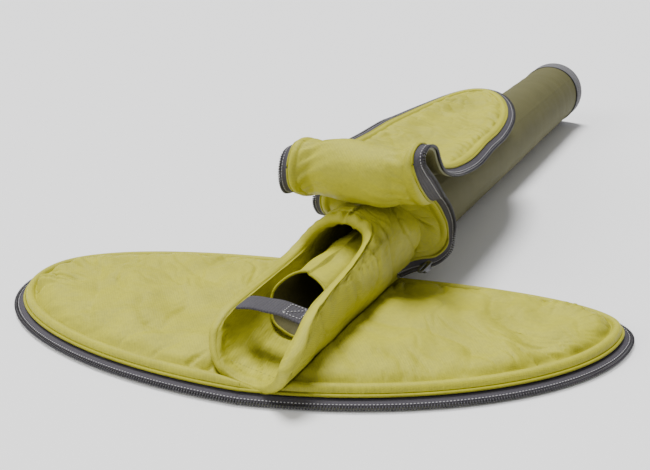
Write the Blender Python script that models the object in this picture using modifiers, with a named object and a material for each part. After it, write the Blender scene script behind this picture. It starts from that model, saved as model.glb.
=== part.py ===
"""Rod and reel case: a rigid tube with a padded grip hood and an oval zip pouch, lying open.

Metres, +Z up. +Y runs along the tube from the pouch to the closed end and +X is to the right of
someone who stands at the pouch and looks down the tube. The origin is on the floor, on the tube's
axis, under the middle of the grip hood. The two wings fold up about lines beside the hood, and the
long flap that closes the pouch over the reel is folded back on top of the tube.
"""

import math

import bmesh
import bpy
from mathutils import Matrix, Vector

# ---- driving dimensions -------------------------------------------------------------------
GAP = 0.0003  # clearance between pieces that touch

TUBE_AXIS_Z = 0.0380
TUBE_START_Y = 0.1180
TUBE_END_Y = 0.6640
COVER_RADIUS = 0.0364
COVER_WALL = 0.0026
LINER_WALL = 0.0022
LINING_WALL = 0.0008
BAND_RADIUS = 0.0376
BAND_WIDTH = 0.0220
TRIM_RADIUS = 0.0008  # the dark cord along the band's edge
CAP_THICKNESS = 0.0035
PLUG_THICKNESS = 0.0090
PAD_THICKNESS = 0.0120
ROUND_STEPS = 32  # flats around the tube

HOOD_FRONT_Y = -0.0700
HOOD_SKIN = 0.0014
HOOD_FOAM = 0.0052
# side view of the hood's mouth, (y, z) from the front lip up to the crown
MOUTH_LINE = [(-0.110, 0.016), (-0.072, 0.036), (-0.038, 0.055), (0.016, 0.068), (0.052, 0.078)]
BINDING_RADIUS = 0.0026
BINDING_LIFT = BINDING_RADIUS + 0.0012  # keeps the rolled rim clear of the mouth's edge
BINDING_END_Y = 0.0185  # where the rim leaves the side walls and crosses the crown
BINDING_CROWN = (0.0050, 0.0225, 0.0740)  # the rim's point beside the crown
MOUTH_TOP_Z = 0.1200  # above everything that the mouth cuts away
MOUTH_HALF_WIDTH = 0.0600

SOCK_RADIUS = 0.0205
SOCK_WALL = 0.0009
SOCK_MOUTH_Y = -0.0120
SOCK_END_Y = 0.6000
SOCK_AXIS_Z = 0.0320
HEM_RADIUS = 0.0015

FOLD_X = 0.0640  # distance of a wing's fold line from the tube's axis
PANEL_MIDDLE_Y = 0.0300
PANEL_FRONT = 0.1280
PANEL_POWER = 2.3
# each half of the oval: reach sideways, depth behind its middle, slant of its long axis
PANEL_HALVES = {"left": (0.242, 0.082, 0.20), "right": (0.206, 0.068, 0.28)}
NOTCH_Y = 0.0780  # the panel's back edge where it meets the hood
NOTCH_HALF_WIDTH = 0.0400
OUTLINE_STEPS = 16  # points on a quarter of the oval
EDGE_INSET = 0.0090  # from the zip teeth in to the padded edge
TAPE_THICKNESS = 0.0014
TEETH_RADIUS = 0.0020
TAPE_INSET = TEETH_RADIUS + 0.0012  # from the chain's middle in to the tape's edge
SHELL_THICKNESS = 0.0016
FOAM_THICKNESS = 0.0100
LINING_THICKNESS = 0.0080
LINING_ROUNDING = 0.0035

FLAP_HALF_WIDTH = 0.0505  # padded part; the zip's edge is 7 mm further out
FLAP_TEETH_X = 0.0576
FLAP_LINING = 0.0050
FLAP_FOAM = 0.0050
FLAP_TOP_Z = 0.0880
FLAP_CROWN = (0.0750, 0.1320)  # (y, z) of the fold's top, where the flap turns back
FLAP_NECK = (0.0920, 0.0820)  # (y, z) of the crease above the hood's crown
FLAP_BEND_Y = 0.2600  # crease across the flap's middle
FLAP_STRAIGHT_Y = 0.2680  # where the round tip starts
FLAP_TIP_Y = 0.3980

STRAP_Y = -0.0470
STRAP_WIDTH = 0.0180
STRAP_THICKNESS = 0.0016
STRAP_MIDDLE_X = 0.0015  # it stops short of the left wall, past which its free end swings
STRAP_HALF_SPAN = 0.0240
STRAP_END_Z = 0.0440  # top of the strap where it meets the hood's walls
STRAP_ARCH = 0.0030  # how far its middle stands above its ends

NECK_FRONT_Y = 0.0980
NECK_BACK_Y = 0.1380
NECK_RADIUS = 0.0500  # the gusset's outer edge, from the tube's axis
NECK_THICKNESS = 0.0035
NECK_ANGLES = (-4.0, 48.0)  # degrees above the level of the tube's axis
NECK_CHAIN_LEAN = 0.0042  # keeps the chain clear of the gusset's edge
# the closed chain beside the hood, as (x, y, z) from the gusset forward
CHAIN_RUN = ((0.0480, 0.1210, 0.0190), (0.0400, 0.0880, 0.0240))

SLIDER_SIZE = (0.0084, 0.0120, 0.0064)
PULL_SIZE = (0.0050, 0.0230, 0.0014)
SLIDER_PLACE = (0.0440, 0.1045, 0.0215)  # middle of the right slider
PULL_PIVOT = (0.0030, 0.0040)  # (out, back) from the slider's middle
CHANNEL_LENGTH = 0.0800


# ---- helpers --------------------------------------------------------------------------------
def clear_scene():
    """Remove what the file starts with."""
    for item in list(bpy.data.objects):
        bpy.data.objects.remove(item, do_unlink=True)


def new_collection(name):
    """A collection under the scene's own."""
    made = bpy.data.collections.new(name)
    bpy.context.scene.collection.children.link(made)
    return made


clear_scene()
PARTS = new_collection("rod_case")
CUTTERS = new_collection("cutters")


def make_material(name, colour, roughness, metallic=0.0):
    """A Principled BSDF with one colour."""
    material = bpy.data.materials.new(name)
    material.use_nodes = True
    shader = material.node_tree.nodes["Principled BSDF"]
    shader.inputs["Base Color"].default_value = (*colour, 1.0)
    shader.inputs["Roughness"].default_value = roughness
    shader.inputs["Metallic"].default_value = metallic
    return material


LIME = (0.50, 0.48, 0.09)
LOOKS = {
    "lime": (LIME, 0.55, 0.0),
    "olive": ((0.13, 0.13, 0.055), 0.75, 0.0),
    "brown": ((0.10, 0.09, 0.04), 0.80, 0.0),
    "foam": ((0.62, 0.60, 0.52), 0.90, 0.0),
    "tape": ((0.10, 0.095, 0.11), 0.80, 0.0),
    "teeth": ((0.035, 0.033, 0.04), 0.45, 0.0),
    "plastic": ((0.05, 0.05, 0.05), 0.50, 0.0),
    "metal": ((0.20, 0.20, 0.21), 0.35, 1.0),
}


def finish(obj, look, collection=PARTS):
    """Put an object in its collection and give it a material of its own."""
    for old in list(obj.users_collection):
        old.objects.unlink(obj)
    collection.objects.link(obj)
    obj.data.materials.clear()
    obj.data.materials.append(make_material(obj.name, *LOOKS[look]))
    return obj


def as_cutter(obj):
    """Keep an object only as a Boolean's operand."""
    obj.hide_render = True
    obj.display_type = "WIRE"
    return obj


def mesh_of(curve_object, name):
    """A closed mesh object with a curve object's shape and place; the curve goes."""
    bpy.context.view_layer.update()
    graph = bpy.context.evaluated_depsgraph_get()
    mesh = bpy.data.meshes.new_from_object(curve_object.evaluated_get(graph))
    made = bmesh.new()
    made.from_mesh(mesh)
    bmesh.ops.remove_doubles(made, verts=made.verts, dist=1e-5)
    bmesh.ops.recalc_face_normals(made, faces=made.faces)
    made.to_mesh(mesh)
    made.free()
    place = curve_object.matrix_world.copy()
    bpy.data.objects.remove(curve_object, do_unlink=True)
    obj = bpy.data.objects.new(name, mesh)
    obj.matrix_world = place
    return obj


def flat_curve(name, outline, thickness, place):
    """A filled 2D outline with a thickness, as a curve object linked to the scene."""
    curve = bpy.data.curves.new(name, "CURVE")
    curve.dimensions = "2D"
    curve.fill_mode = "BOTH"
    curve.extrude = thickness / 2
    spline = curve.splines.new("POLY")
    spline.points.add(len(outline) - 1)
    for point, (across, up) in zip(spline.points, outline):
        point.co = (across, up, 0.0, 1.0)
    spline.use_cyclic_u = True
    obj = bpy.data.objects.new(name + "_outline", curve)
    bpy.context.scene.collection.objects.link(obj)
    obj.matrix_world = place
    return obj


def plate(name, outline, low, high, look, rounding=0.0, origin=(0.0, 0.0, 0.0)):
    """A flat piece between two heights, from an outline seen from above."""
    local = [(x - origin[0], y - origin[1]) for x, y in outline]
    middle = Vector((origin[0], origin[1], (low + high) / 2))
    obj = mesh_of(flat_curve(name, local, high - low, Matrix.Translation(middle)), name)
    obj.data.transform(Matrix.Translation((0.0, 0.0, middle.z - origin[2])))
    obj.location.z = origin[2]
    if rounding:
        bevel = obj.modifiers.new("rounding", "BEVEL")
        bevel.width = rounding
        bevel.segments = 1
        bevel.limit_method = "ANGLE"
        bevel.angle_limit = math.radians(60)
    return finish(obj, look)


def side_plate(name, outline, half_width, look, origin=(0.0, 0.0, 0.0), middle_x=0.0):
    """A piece of even width across X, from an outline seen from the side as (y, z)."""
    local = [(y - origin[1], z - origin[2]) for y, z in outline]
    turn = Matrix(((0, 0, 1), (1, 0, 0), (0, 1, 0))).to_4x4()  # outline's x, y to Y, Z
    place = Matrix.Translation((origin[0], origin[1], origin[2])) @ turn
    obj = mesh_of(flat_curve(name, local, 2 * half_width, place), name)
    obj.data.transform(Matrix.Translation((0.0, 0.0, middle_x - origin[0])))
    obj.data.transform(turn)
    obj.matrix_world = Matrix.Translation(origin)
    return finish(obj, look)


def bead(name, points, radius, look, origin=(0.0, 0.0, 0.0), closed=False):
    """A round cord or chain through points, with filled ends."""
    curve = bpy.data.curves.new(name, "CURVE")
    curve.dimensions = "3D"
    curve.bevel_depth = radius
    curve.bevel_resolution = 1
    curve.use_fill_caps = True
    spline = curve.splines.new("POLY")
    spline.points.add(len(points) - 1)
    for point, place in zip(spline.points, points):
        point.co = (*(Vector(place) - Vector(origin)), 1.0)
    spline.use_cyclic_u = closed
    obj = bpy.data.objects.new(name, curve)
    obj.location = origin
    return finish(obj, look)


def turned(name, profile, look, steps=ROUND_STEPS, axis_z=TUBE_AXIS_Z):
    """A piece turned about a line along Y; the profile is (radius, y) points in order.

    The profile runs from the open end's outer edge round to its inner edge, so a closed profile
    makes a ring and one that starts and ends at radius zero makes a disc.
    """
    mesh = bpy.data.meshes.new(name)
    made = bmesh.new()
    ring = [made.verts.new((radius, 0.0, -along)) for radius, along in profile]
    edges = list(zip(ring, ring[1:]))
    if profile[0][0] > 0:
        edges.append((ring[-1], ring[0]))
    for pair in edges:
        made.edges.new(pair)
    made.to_mesh(mesh)
    made.free()
    obj = bpy.data.objects.new(name, mesh)
    obj.location = (0.0, 0.0, axis_z)
    obj.rotation_euler = (math.radians(90), 0.0, 0.0)
    screw = obj.modifiers.new("turn", "SCREW")
    screw.axis = "Z"
    screw.steps = steps
    screw.render_steps = steps
    screw.use_merge_vertices = True
    screw.merge_threshold = 0.00005
    return finish(obj, look)


def pipe(name, outer, inner, start, end, look, **where):
    """An open tube between two places along Y."""
    return turned(name, [(outer, start), (outer, end), (inner, end), (inner, start)], look, **where)


def disc(name, radius, start, end, look):
    """A solid disc between two places along Y."""
    return turned(name, [(0.0, start), (radius, start), (radius, end), (0.0, end)], look)


def cup(name, outer, inner, start, end, look, **where):
    """A tube closed at its far end."""
    wall = outer - inner
    profile = [(0.0, end), (outer, end), (outer, start), (inner, start), (inner, end - wall)]
    profile.append((0.0, end - wall))
    return turned(name, list(reversed(profile)), look, **where)


def cut(obj, cutter):
    """Take one object's shape out of another."""
    step = obj.modifiers.new("cut", "BOOLEAN")
    step.operation = "DIFFERENCE"
    step.solver = "EXACT"
    step.object = cutter
    return obj


def cutter_plate(name, outline, half_width):
    """A cutter of even width across X from a side view."""
    obj = side_plate(name, outline, half_width, "plastic")
    return as_cutter(finish(obj, "plastic", CUTTERS))


def offset_line(line, distance):
    """An open line of (y, z) points moved to its right-hand side by a distance."""
    moved = []
    for index, here in enumerate(line):
        before = line[max(index - 1, 0)]
        after = line[min(index + 1, len(line) - 1)]
        along = Vector((after[0] - before[0], after[1] - before[1])).normalized()
        moved.append((here[0] + along.y * distance, here[1] - along.x * distance))
    return moved


def between(line, low, high):
    """A closed outline of the layer between two depths under a line."""
    return offset_line(line, low) + list(reversed(offset_line(line, high)))


def shorten(line, at_start, at_end):
    """An open line with its first and last points moved in along it."""
    start, second = Vector(line[0]), Vector(line[1])
    end, last = Vector(line[-1]), Vector(line[-2])
    first = start + (second - start).normalized() * at_start
    final = end + (last - end).normalized() * at_end
    return [tuple(first), *line[1:-1], tuple(final)]


# ---- tube -----------------------------------------------------------------------------------
def build_tube():
    """The rigid tube with its cover, lining and closed far end."""
    liner_outer = COVER_RADIUS - COVER_WALL - GAP
    liner_inner = liner_outer - LINER_WALL
    lining_outer = liner_inner - GAP
    band_start = TUBE_END_Y - BAND_WIDTH + CAP_THICKNESS
    plug_start = TUBE_END_Y - PLUG_THICKNESS
    pad_start = plug_start - GAP - PAD_THICKNESS
    pipe("tube_cover", COVER_RADIUS, COVER_RADIUS - COVER_WALL, TUBE_START_Y, TUBE_END_Y, "olive")
    pipe("tube_liner", liner_outer, liner_inner, TUBE_START_Y, TUBE_END_Y, "plastic")
    pipe("tube_lining", lining_outer, lining_outer - LINING_WALL, TUBE_START_Y, pad_start, "lime")
    disc("end_plug", lining_outer, plug_start, TUBE_END_Y, "plastic")
    disc("end_pad", lining_outer, pad_start + GAP, plug_start - GAP, "foam")
    disc("end_cap", COVER_RADIUS, TUBE_END_Y + GAP, TUBE_END_Y + CAP_THICKNESS, "olive")
    band_end = TUBE_END_Y + CAP_THICKNESS
    pipe("end_band", BAND_RADIUS, COVER_RADIUS + GAP, band_start, band_end, "tape")
    ring = COVER_RADIUS + GAP + TRIM_RADIUS
    circle = [math.tau * step / ROUND_STEPS for step in range(ROUND_STEPS)]
    along = band_start - TRIM_RADIUS - GAP
    points = [(ring * math.cos(a), along, TUBE_AXIS_Z + ring * math.sin(a)) for a in circle]
    bead("end_piping", points, TRIM_RADIUS, "teeth", closed=True)


# ---- hood and sock --------------------------------------------------------------------------
def mouth_height(y):
    """Height of the hood's mouth at a place along the tube."""
    for (y0, z0), (y1, z1) in zip(MOUTH_LINE, MOUTH_LINE[1:]):
        if y <= y1:
            return z0 + (z1 - z0) * (y - y0) / (y1 - y0)
    return MOUTH_LINE[-1][1]


def build_hood():
    """The padded hood over the rod's grip: three nested layers with a slanting mouth."""
    outline = MOUTH_LINE + [(MOUTH_LINE[-1][0], MOUTH_TOP_Z), (MOUTH_LINE[0][0], MOUTH_TOP_Z)]
    mouth = cutter_plate("mouth_cutter", outline, MOUTH_HALF_WIDTH)
    cover_inner = COVER_RADIUS - HOOD_SKIN
    foam_outer = cover_inner - GAP
    foam_inner = foam_outer - HOOD_FOAM
    lining_outer = foam_inner - GAP
    back = TUBE_START_Y - GAP
    layers = {
        "hood_cover": (COVER_RADIUS, cover_inner, "lime"),
        "hood_foam": (foam_outer, foam_inner, "foam"),
        "hood_lining": (lining_outer, lining_outer - HOOD_SKIN, "lime"),
    }
    for name, (outer, inner, look) in layers.items():
        cut(pipe(name, outer, inner, HOOD_FRONT_Y, back, look), mouth)

    # the rolled rim runs over the mouth's edge, up one side, across the crown and down the other
    middle = (COVER_RADIUS + lining_outer - HOOD_SKIN) / 2
    steps = 10
    right = []
    for step in range(steps):
        y = HOOD_FRONT_Y + (BINDING_END_Y - HOOD_FRONT_Y) * step / (steps - 1)
        z = mouth_height(y)
        x = math.sqrt(middle**2 - (z - TUBE_AXIS_Z) ** 2)
        right.append((x, y, z + BINDING_LIFT))
    right.append(BINDING_CROWN)
    left = [(-x, y, z) for x, y, z in reversed(right)]
    bead("hood_binding", right + left, BINDING_RADIUS, "lime")


def build_sock():
    """The loose sleeve for the spare rod sections, open at the hood and closed down the tube."""
    steps = 20
    where = {"axis_z": SOCK_AXIS_Z, "steps": steps}
    inner = SOCK_RADIUS - SOCK_WALL
    cup("rod_sock", SOCK_RADIUS, inner, SOCK_MOUTH_Y, SOCK_END_Y, "lime", **where)
    lining = inner - GAP
    far = SOCK_END_Y - SOCK_WALL - GAP
    cup("sock_lining", lining, lining - SOCK_WALL, SOCK_MOUTH_Y, far, "brown", **where)
    circle = [math.tau * step / steps for step in range(steps)]
    y = SOCK_MOUTH_Y - HEM_RADIUS - GAP
    points = [(inner * math.cos(a), y, SOCK_AXIS_Z + inner * math.sin(a)) for a in circle]
    bead("sock_hem", points, HEM_RADIUS, "lime", closed=True)


def build_strap():
    """The webbing strap over the grip, sewn to the hood's right wall."""
    steps = 8
    top = []
    for step in range(steps + 1):
        t = -1.0 + 2.0 * step / steps
        top.append((STRAP_MIDDLE_X + STRAP_HALF_SPAN * t, STRAP_END_Z + STRAP_ARCH * (1.0 - t * t)))
    under = [(x, z - STRAP_THICKNESS) for x, z in reversed(top)]
    hinge = (STRAP_MIDDLE_X + STRAP_HALF_SPAN, STRAP_Y, STRAP_END_Z - STRAP_THICKNESS / 2)
    local = [(x - hinge[0], z - hinge[2]) for x, z in top + under]
    stand = Matrix.Rotation(math.radians(90), 4, "X")
    obj = mesh_of(flat_curve("grip_strap", local, STRAP_WIDTH, Matrix.Translation(hinge) @ stand),
                  "grip_strap")
    obj.data.transform(stand)
    obj.matrix_world = Matrix.Translation(hinge)
    finish(obj, "tape")


# ---- oval panel -----------------------------------------------------------------------------
def quarter(reach, depth, slant, inset, side, front):
    """Points on a quarter of the oval, from its middle line out to its end."""
    points = []
    for step in range(OUTLINE_STEPS + 1):
        angle = math.pi / 2 * step / OUTLINE_STEPS
        out = math.sin(angle) ** (2 / PANEL_POWER) * (reach - inset)
        away = math.cos(angle) ** (2 / PANEL_POWER) * (depth - inset)
        y = PANEL_MIDDLE_Y + (-away if front else away) + slant * side * out
        points.append((side * out, y))
    return points


def half_outline(name, inset):
    """One half of the oval, from the front middle round its end to the back middle."""
    reach, back, slant = PANEL_HALVES[name]
    side = 1 if name == "right" else -1
    front = quarter(reach, PANEL_FRONT, slant, inset, side, True)
    rear = quarter(reach, back, slant, inset, side, False)
    return front + list(reversed(rear))[1:]


def at_x(line, x):
    """The place where a line of points crosses a distance from the axis."""
    for (x0, y0), (x1, y1) in zip(line, line[1:]):
        if (x0 - x) * (x1 - x) <= 0 and x0 != x1:
            return (x, y0 + (y1 - y0) * (x - x0) / (x1 - x0))
    return (x, line[-1][1])


def wing_line(name, inset):
    """A wing's free edge, from its fold line's front end round to the back end."""
    side = 1 if name == "right" else -1
    limit = FOLD_X + GAP
    line = half_outline(name, inset)
    far = max(range(len(line)), key=lambda index: abs(line[index][0]))
    first = at_x(line[:far + 1], side * limit)
    last = at_x(line[far:], side * limit)
    step = 0.002  # drops a point that nearly repeats the fold line's end
    inner = [point for point in line if abs(point[0]) > limit + step]
    return [first] + inner + [last]


def base_front_line(inset):
    """The front edge between the fold lines, from left to right."""
    limit = FOLD_X - GAP
    left = [p for p in half_outline("left", inset)[:OUTLINE_STEPS + 1] if abs(p[0]) < limit - 0.002]
    right = [p for p in half_outline("right", inset)[:OUTLINE_STEPS + 1] if abs(p[0]) < limit - 0.002]
    first = at_x(half_outline("left", inset)[:OUTLINE_STEPS + 1], -limit)
    last = at_x(half_outline("right", inset)[:OUTLINE_STEPS + 1], limit)
    return [first] + list(reversed(left)) + right[1:] + [last]


def base_back_line(inset):
    """The back edge between the fold lines, from right to left, with the notch at the neck."""
    limit = FOLD_X - GAP
    right = at_x(half_outline("right", inset)[OUTLINE_STEPS:], limit)
    left = at_x(half_outline("left", inset)[OUTLINE_STEPS:], -limit)
    notch = NOTCH_Y - inset
    return [right, (NOTCH_HALF_WIDTH, notch), (-NOTCH_HALF_WIDTH, notch), left]


def band_outline(line_out, line_in):
    """A closed outline between an outer and an inner line."""
    return line_out + list(reversed(line_in))


def at_height(line, z):
    """Points of a plan line at one height."""
    return [(x, y, z) for x, y in line]


def build_wing(name):
    """One half of the oval: shell, foam, lining and its half of the zip."""
    side = 1 if name == "right" else -1
    foam_low = SHELL_THICKNESS + GAP
    foam_high = foam_low + FOAM_THICKNESS
    lining_low = foam_high + GAP
    hinge = (side * FOLD_X, 0.0, lining_low + LINING_THICKNESS)
    padded = wing_line(name, EDGE_INSET)
    plate(f"{name}_shell", padded, 0.0, SHELL_THICKNESS, "olive", origin=hinge)
    plate(f"{name}_foam", padded, foam_low, foam_high, "foam", origin=hinge)
    plate(f"{name}_lining", padded, lining_low, hinge[2], "lime", LINING_ROUNDING, hinge)
    tape_low = TEETH_RADIUS
    tape_line = band_outline(wing_line(name, TAPE_INSET), wing_line(name, EDGE_INSET - GAP))
    plate(f"{name}_zip_tape", tape_line, tape_low, tape_low + TAPE_THICKNESS, "tape", origin=hinge)
    teeth = at_height(wing_line(name, 0.0), TEETH_RADIUS + GAP)
    bead(f"{name}_zip_teeth", teeth, TEETH_RADIUS, "teeth", origin=hinge)


def build_base():
    """The strip of the panel between the fold lines, which the hood and tube are sewn to."""
    foam_low = SHELL_THICKNESS + GAP
    foam_high = foam_low + FOAM_THICKNESS
    lining_low = foam_high + GAP
    outline = base_front_line(EDGE_INSET) + base_back_line(EDGE_INSET)
    plate("base_shell", outline, 0.0, SHELL_THICKNESS - GAP, "olive")
    room = bed_cutter()
    cut(plate("base_foam", outline, foam_low, foam_high, "foam"), room)
    cut(plate("base_lining", outline, lining_low, lining_low + LINING_THICKNESS, "lime"), room)
    tape_line = band_outline(base_front_line(TAPE_INSET), base_front_line(EDGE_INSET - GAP))
    tape_low = TEETH_RADIUS
    plate("base_zip_tape", tape_line, tape_low, tape_low + TAPE_THICKNESS, "tape")
    teeth = at_height(base_front_line(0.0), TEETH_RADIUS + GAP)
    bead("base_zip_teeth", teeth, TEETH_RADIUS, "teeth")


def bed_cutter():
    """The bed of the hood and tube in the padded strip."""
    start = HOOD_FRONT_Y - GAP
    length = 0.300
    bpy.ops.mesh.primitive_cylinder_add(vertices=ROUND_STEPS, radius=COVER_RADIUS + GAP, depth=length)
    obj = bpy.context.active_object
    obj.name = "bed_cutter"
    obj.data.transform(Matrix.Rotation(math.radians(90), 4, "X"))
    obj.location = (0.0, start + length / 2, TUBE_AXIS_Z)
    return as_cutter(finish(obj, "plastic", CUTTERS))


# ---- neck -----------------------------------------------------------------------------------
def build_neck(name):
    """The side of the gusset that joins the panel, the tube and the flap, with its zip."""
    side = 1 if name == "right" else -1
    inner = COVER_RADIUS + 2 * GAP
    low, high = (math.radians(angle) for angle in NECK_ANGLES)
    steps = 7
    mesh = bpy.data.meshes.new(f"neck_{name}_gusset")
    made = bmesh.new()
    arcs = []
    corners = [(inner, NECK_FRONT_Y), (NECK_RADIUS, NECK_BACK_Y),
               (NECK_RADIUS, NECK_BACK_Y + NECK_THICKNESS), (inner, NECK_FRONT_Y + NECK_THICKNESS)]
    for step in range(steps):
        angle = low + (high - low) * step / (steps - 1)
        arcs.append([
            made.verts.new((side * r * math.cos(angle), y, TUBE_AXIS_Z + r * math.sin(angle)))
            for r, y in corners
        ])
    for one, two in zip(arcs, arcs[1:]):
        for index in range(len(corners)):
            after = (index + 1) % len(corners)
            made.faces.new((one[index], one[after], two[after], two[index]))
    made.faces.new(arcs[0])
    made.faces.new(list(reversed(arcs[-1])))
    bmesh.ops.recalc_face_normals(made, faces=made.faces)
    made.to_mesh(mesh)
    made.free()
    finish(bpy.data.objects.new(f"neck_{name}_gusset", mesh), "lime")

    # the chain: down the gusset's edge, forward beside the hood, then out along the panel's back
    edge = []
    for step in range(5):
        angle = high + (low - high) * step / 4
        r = NECK_RADIUS + NECK_CHAIN_LEAN
        edge.append((side * r * math.cos(angle), NECK_BACK_Y, TUBE_AXIS_Z + r * math.sin(angle)))
    run = [(side * x, y, z) for x, y, z in CHAIN_RUN]
    bead(f"neck_{name}_zip", edge + run, TEETH_RADIUS, "teeth")


# ---- flap -----------------------------------------------------------------------------------
FOLD_LINE = [(0.0860, 0.0800), (0.0700, 0.0815), (0.0590, 0.0890), (0.0550, 0.1010),
             (0.0565, 0.1150), (0.0620, 0.1260), (0.0690, 0.1309), (0.0747, 0.1310)]
BACK_LINE = [(0.0753, 0.1310), (0.0800, 0.1309), (0.0890, 0.1255), (0.0960, 0.1160), (0.1070, 0.1055),
             (0.1240, 0.0970), (0.1520, 0.0905), (0.1880, FLAP_TOP_Z), (FLAP_BEND_Y - GAP, FLAP_TOP_Z)]


def edge_strip(name, line, depth, side, origin):
    """The zip tape and the row of teeth along one side of a bent stretch of the flap."""
    label = "right" if side > 0 else "left"
    tape_in = FLAP_HALF_WIDTH + GAP
    tape_out = FLAP_TEETH_X - TEETH_RADIUS - GAP
    outline = between(line, depth - TAPE_THICKNESS / 2, depth + TAPE_THICKNESS / 2)
    middle = side * (tape_in + tape_out) / 2
    side_plate(f"{name}_{label}_tape", outline, (tape_out - tape_in) / 2, "tape", origin, middle)
    path = [(side * FLAP_TEETH_X, y, z) for y, z in offset_line(line, depth)]
    bead(f"{name}_{label}_teeth", path, TEETH_RADIUS, "teeth", origin=origin)


def build_flap_fold():
    """The front of the fold, from the neck's crease up to the crown."""
    hinge = (0.0, *FLAP_NECK)
    shell_low = FLAP_LINING + GAP
    side_plate("flap_fold_lining", between(FOLD_LINE, 0.0, FLAP_LINING), FLAP_HALF_WIDTH, "lime", hinge)
    shell = between(FOLD_LINE, shell_low, shell_low + SHELL_THICKNESS)
    side_plate("flap_fold_shell", shell, FLAP_HALF_WIDTH, "olive", hinge)
    edge = shorten(FOLD_LINE, 0.0, TEETH_RADIUS)
    for side in (-1, 1):
        edge_strip("flap_fold", edge, FLAP_LINING - TEETH_RADIUS, side, hinge)


def build_flap_middle():
    """From the crown back along the top of the tube to the crease across the flap."""
    hinge = (0.0, *FLAP_CROWN)
    foam_low = FLAP_LINING + GAP
    shell_low = foam_low + FLAP_FOAM + GAP
    layers = {
        "lining": (0.0, FLAP_LINING, "lime"),
        "foam": (foam_low, foam_low + FLAP_FOAM, "foam"),
        "shell": (shell_low, shell_low + SHELL_THICKNESS, "olive"),
    }
    for layer, (low, high, look) in layers.items():
        outline = between(BACK_LINE, low, high)
        side_plate(f"flap_middle_{layer}", outline, FLAP_HALF_WIDTH, look, hinge)
    edge = shorten(BACK_LINE, TEETH_RADIUS, TEETH_RADIUS)
    for side in (-1, 1):
        edge_strip("flap_middle", edge, FLAP_LINING + TEETH_RADIUS, side, hinge)


def tip_line(inset):
    """The flap's end seen from above, from the right crease round the tip to the left crease."""
    half = FLAP_TEETH_X - inset
    length = FLAP_TIP_Y - inset - FLAP_STRAIGHT_Y
    steps = 12
    start = FLAP_BEND_Y + GAP
    arc = [math.pi * step / steps for step in range(steps + 1)]
    round_end = [(half * math.cos(a), FLAP_STRAIGHT_Y + length * math.sin(a)) for a in arc]
    return [(half, start)] + round_end + [(-half, start)]


def build_flap_tip():
    """The round end of the flap, past its crease."""
    hinge = (0.0, FLAP_BEND_Y, FLAP_TOP_Z)
    inset = FLAP_TEETH_X - FLAP_HALF_WIDTH
    lining_low = FLAP_TOP_Z - FLAP_LINING
    foam_high = lining_low - GAP
    foam_low = foam_high - FLAP_FOAM
    shell_high = foam_low - GAP
    padded = tip_line(inset)
    plate("flap_tip_lining", padded, lining_low, FLAP_TOP_Z, "lime", origin=hinge)
    plate("flap_tip_foam", padded, foam_low, foam_high, "foam", origin=hinge)
    plate("flap_tip_shell", padded, shell_high - SHELL_THICKNESS, shell_high, "olive", origin=hinge)
    middle = FLAP_TOP_Z - FLAP_LINING - TEETH_RADIUS
    tape = band_outline(tip_line(TAPE_INSET), tip_line(inset - GAP))
    half = TAPE_THICKNESS / 2
    plate("flap_tip_tape", tape, middle - half, middle + half, "tape", origin=hinge)
    bead("flap_tip_teeth", at_height(tip_line(0.0), middle), TEETH_RADIUS, "teeth", origin=hinge)


# ---- sliders --------------------------------------------------------------------------------
def build_slider(name):
    """A zip slider parked at the neck, with its pull lying forward."""
    side = 1 if name == "right" else -1
    x, y, z = side * SLIDER_PLACE[0], SLIDER_PLACE[1], SLIDER_PLACE[2]
    bpy.ops.mesh.primitive_cube_add(size=1.0)
    body = bpy.context.active_object
    body.name = f"{name}_slider"
    body.data.transform(Matrix.Diagonal((*SLIDER_SIZE, 1.0)))
    body.location = (x, y, z)
    finish(body, "metal")
    channel = slider_channel(name, side)
    cut(body, channel)
    bpy.ops.mesh.primitive_cube_add(size=1.0)
    pull = bpy.context.active_object
    pull.name = f"{name}_pull"
    forward = Matrix.Translation((0.0, -PULL_SIZE[1] / 2, 0.0))
    pull.data.transform(forward @ Matrix.Diagonal((*PULL_SIZE, 1.0)))
    above = SLIDER_SIZE[2] / 2 + PULL_SIZE[2] / 2 + GAP
    pull.location = (x + side * PULL_PIVOT[0], y + PULL_PIVOT[1], z + above)
    finish(pull, "metal")


def slider_channel(name, side):
    """The channel that the chain runs through."""
    start, end = (Vector((side * x, y, z)) for x, y, z in CHAIN_RUN)
    along = (end - start).normalized()
    bpy.ops.mesh.primitive_cylinder_add(vertices=12, radius=TEETH_RADIUS + 2 * GAP,
                                        depth=CHANNEL_LENGTH)
    obj = bpy.context.active_object
    obj.name = f"{name}_channel_cutter"
    obj.rotation_mode = "QUATERNION"
    obj.rotation_quaternion = along.to_track_quat("Z", "Y")
    obj.location = (start + end) / 2
    return as_cutter(finish(obj, "plastic", CUTTERS))


def main():
    """Build every piece."""
    build_tube()
    build_hood()
    build_sock()
    build_strap()
    build_base()
    for name in ("left", "right"):
        build_wing(name)
        build_neck(name)
        build_slider(name)
    build_flap_fold()
    build_flap_middle()
    build_flap_tip()


main()
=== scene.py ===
"""Looks of a rod and reel case that lies open: padded lime lining, olive shell, coil zip and tube.

Every soft piece is a surface worked out from a flat pattern: a row of columns along the pattern's
edge and a row of insets from that edge, lifted by a height profile and by wrinkles. The flap's
pattern is then bent along guide curves. Lengths are metres; MM turns millimetres into metres.
"""

import logging
import math
from collections.abc import Callable
from dataclasses import dataclass, field
from enum import Enum

import bmesh
import bpy
import numpy as np
from mathutils import Matrix, Vector


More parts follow.
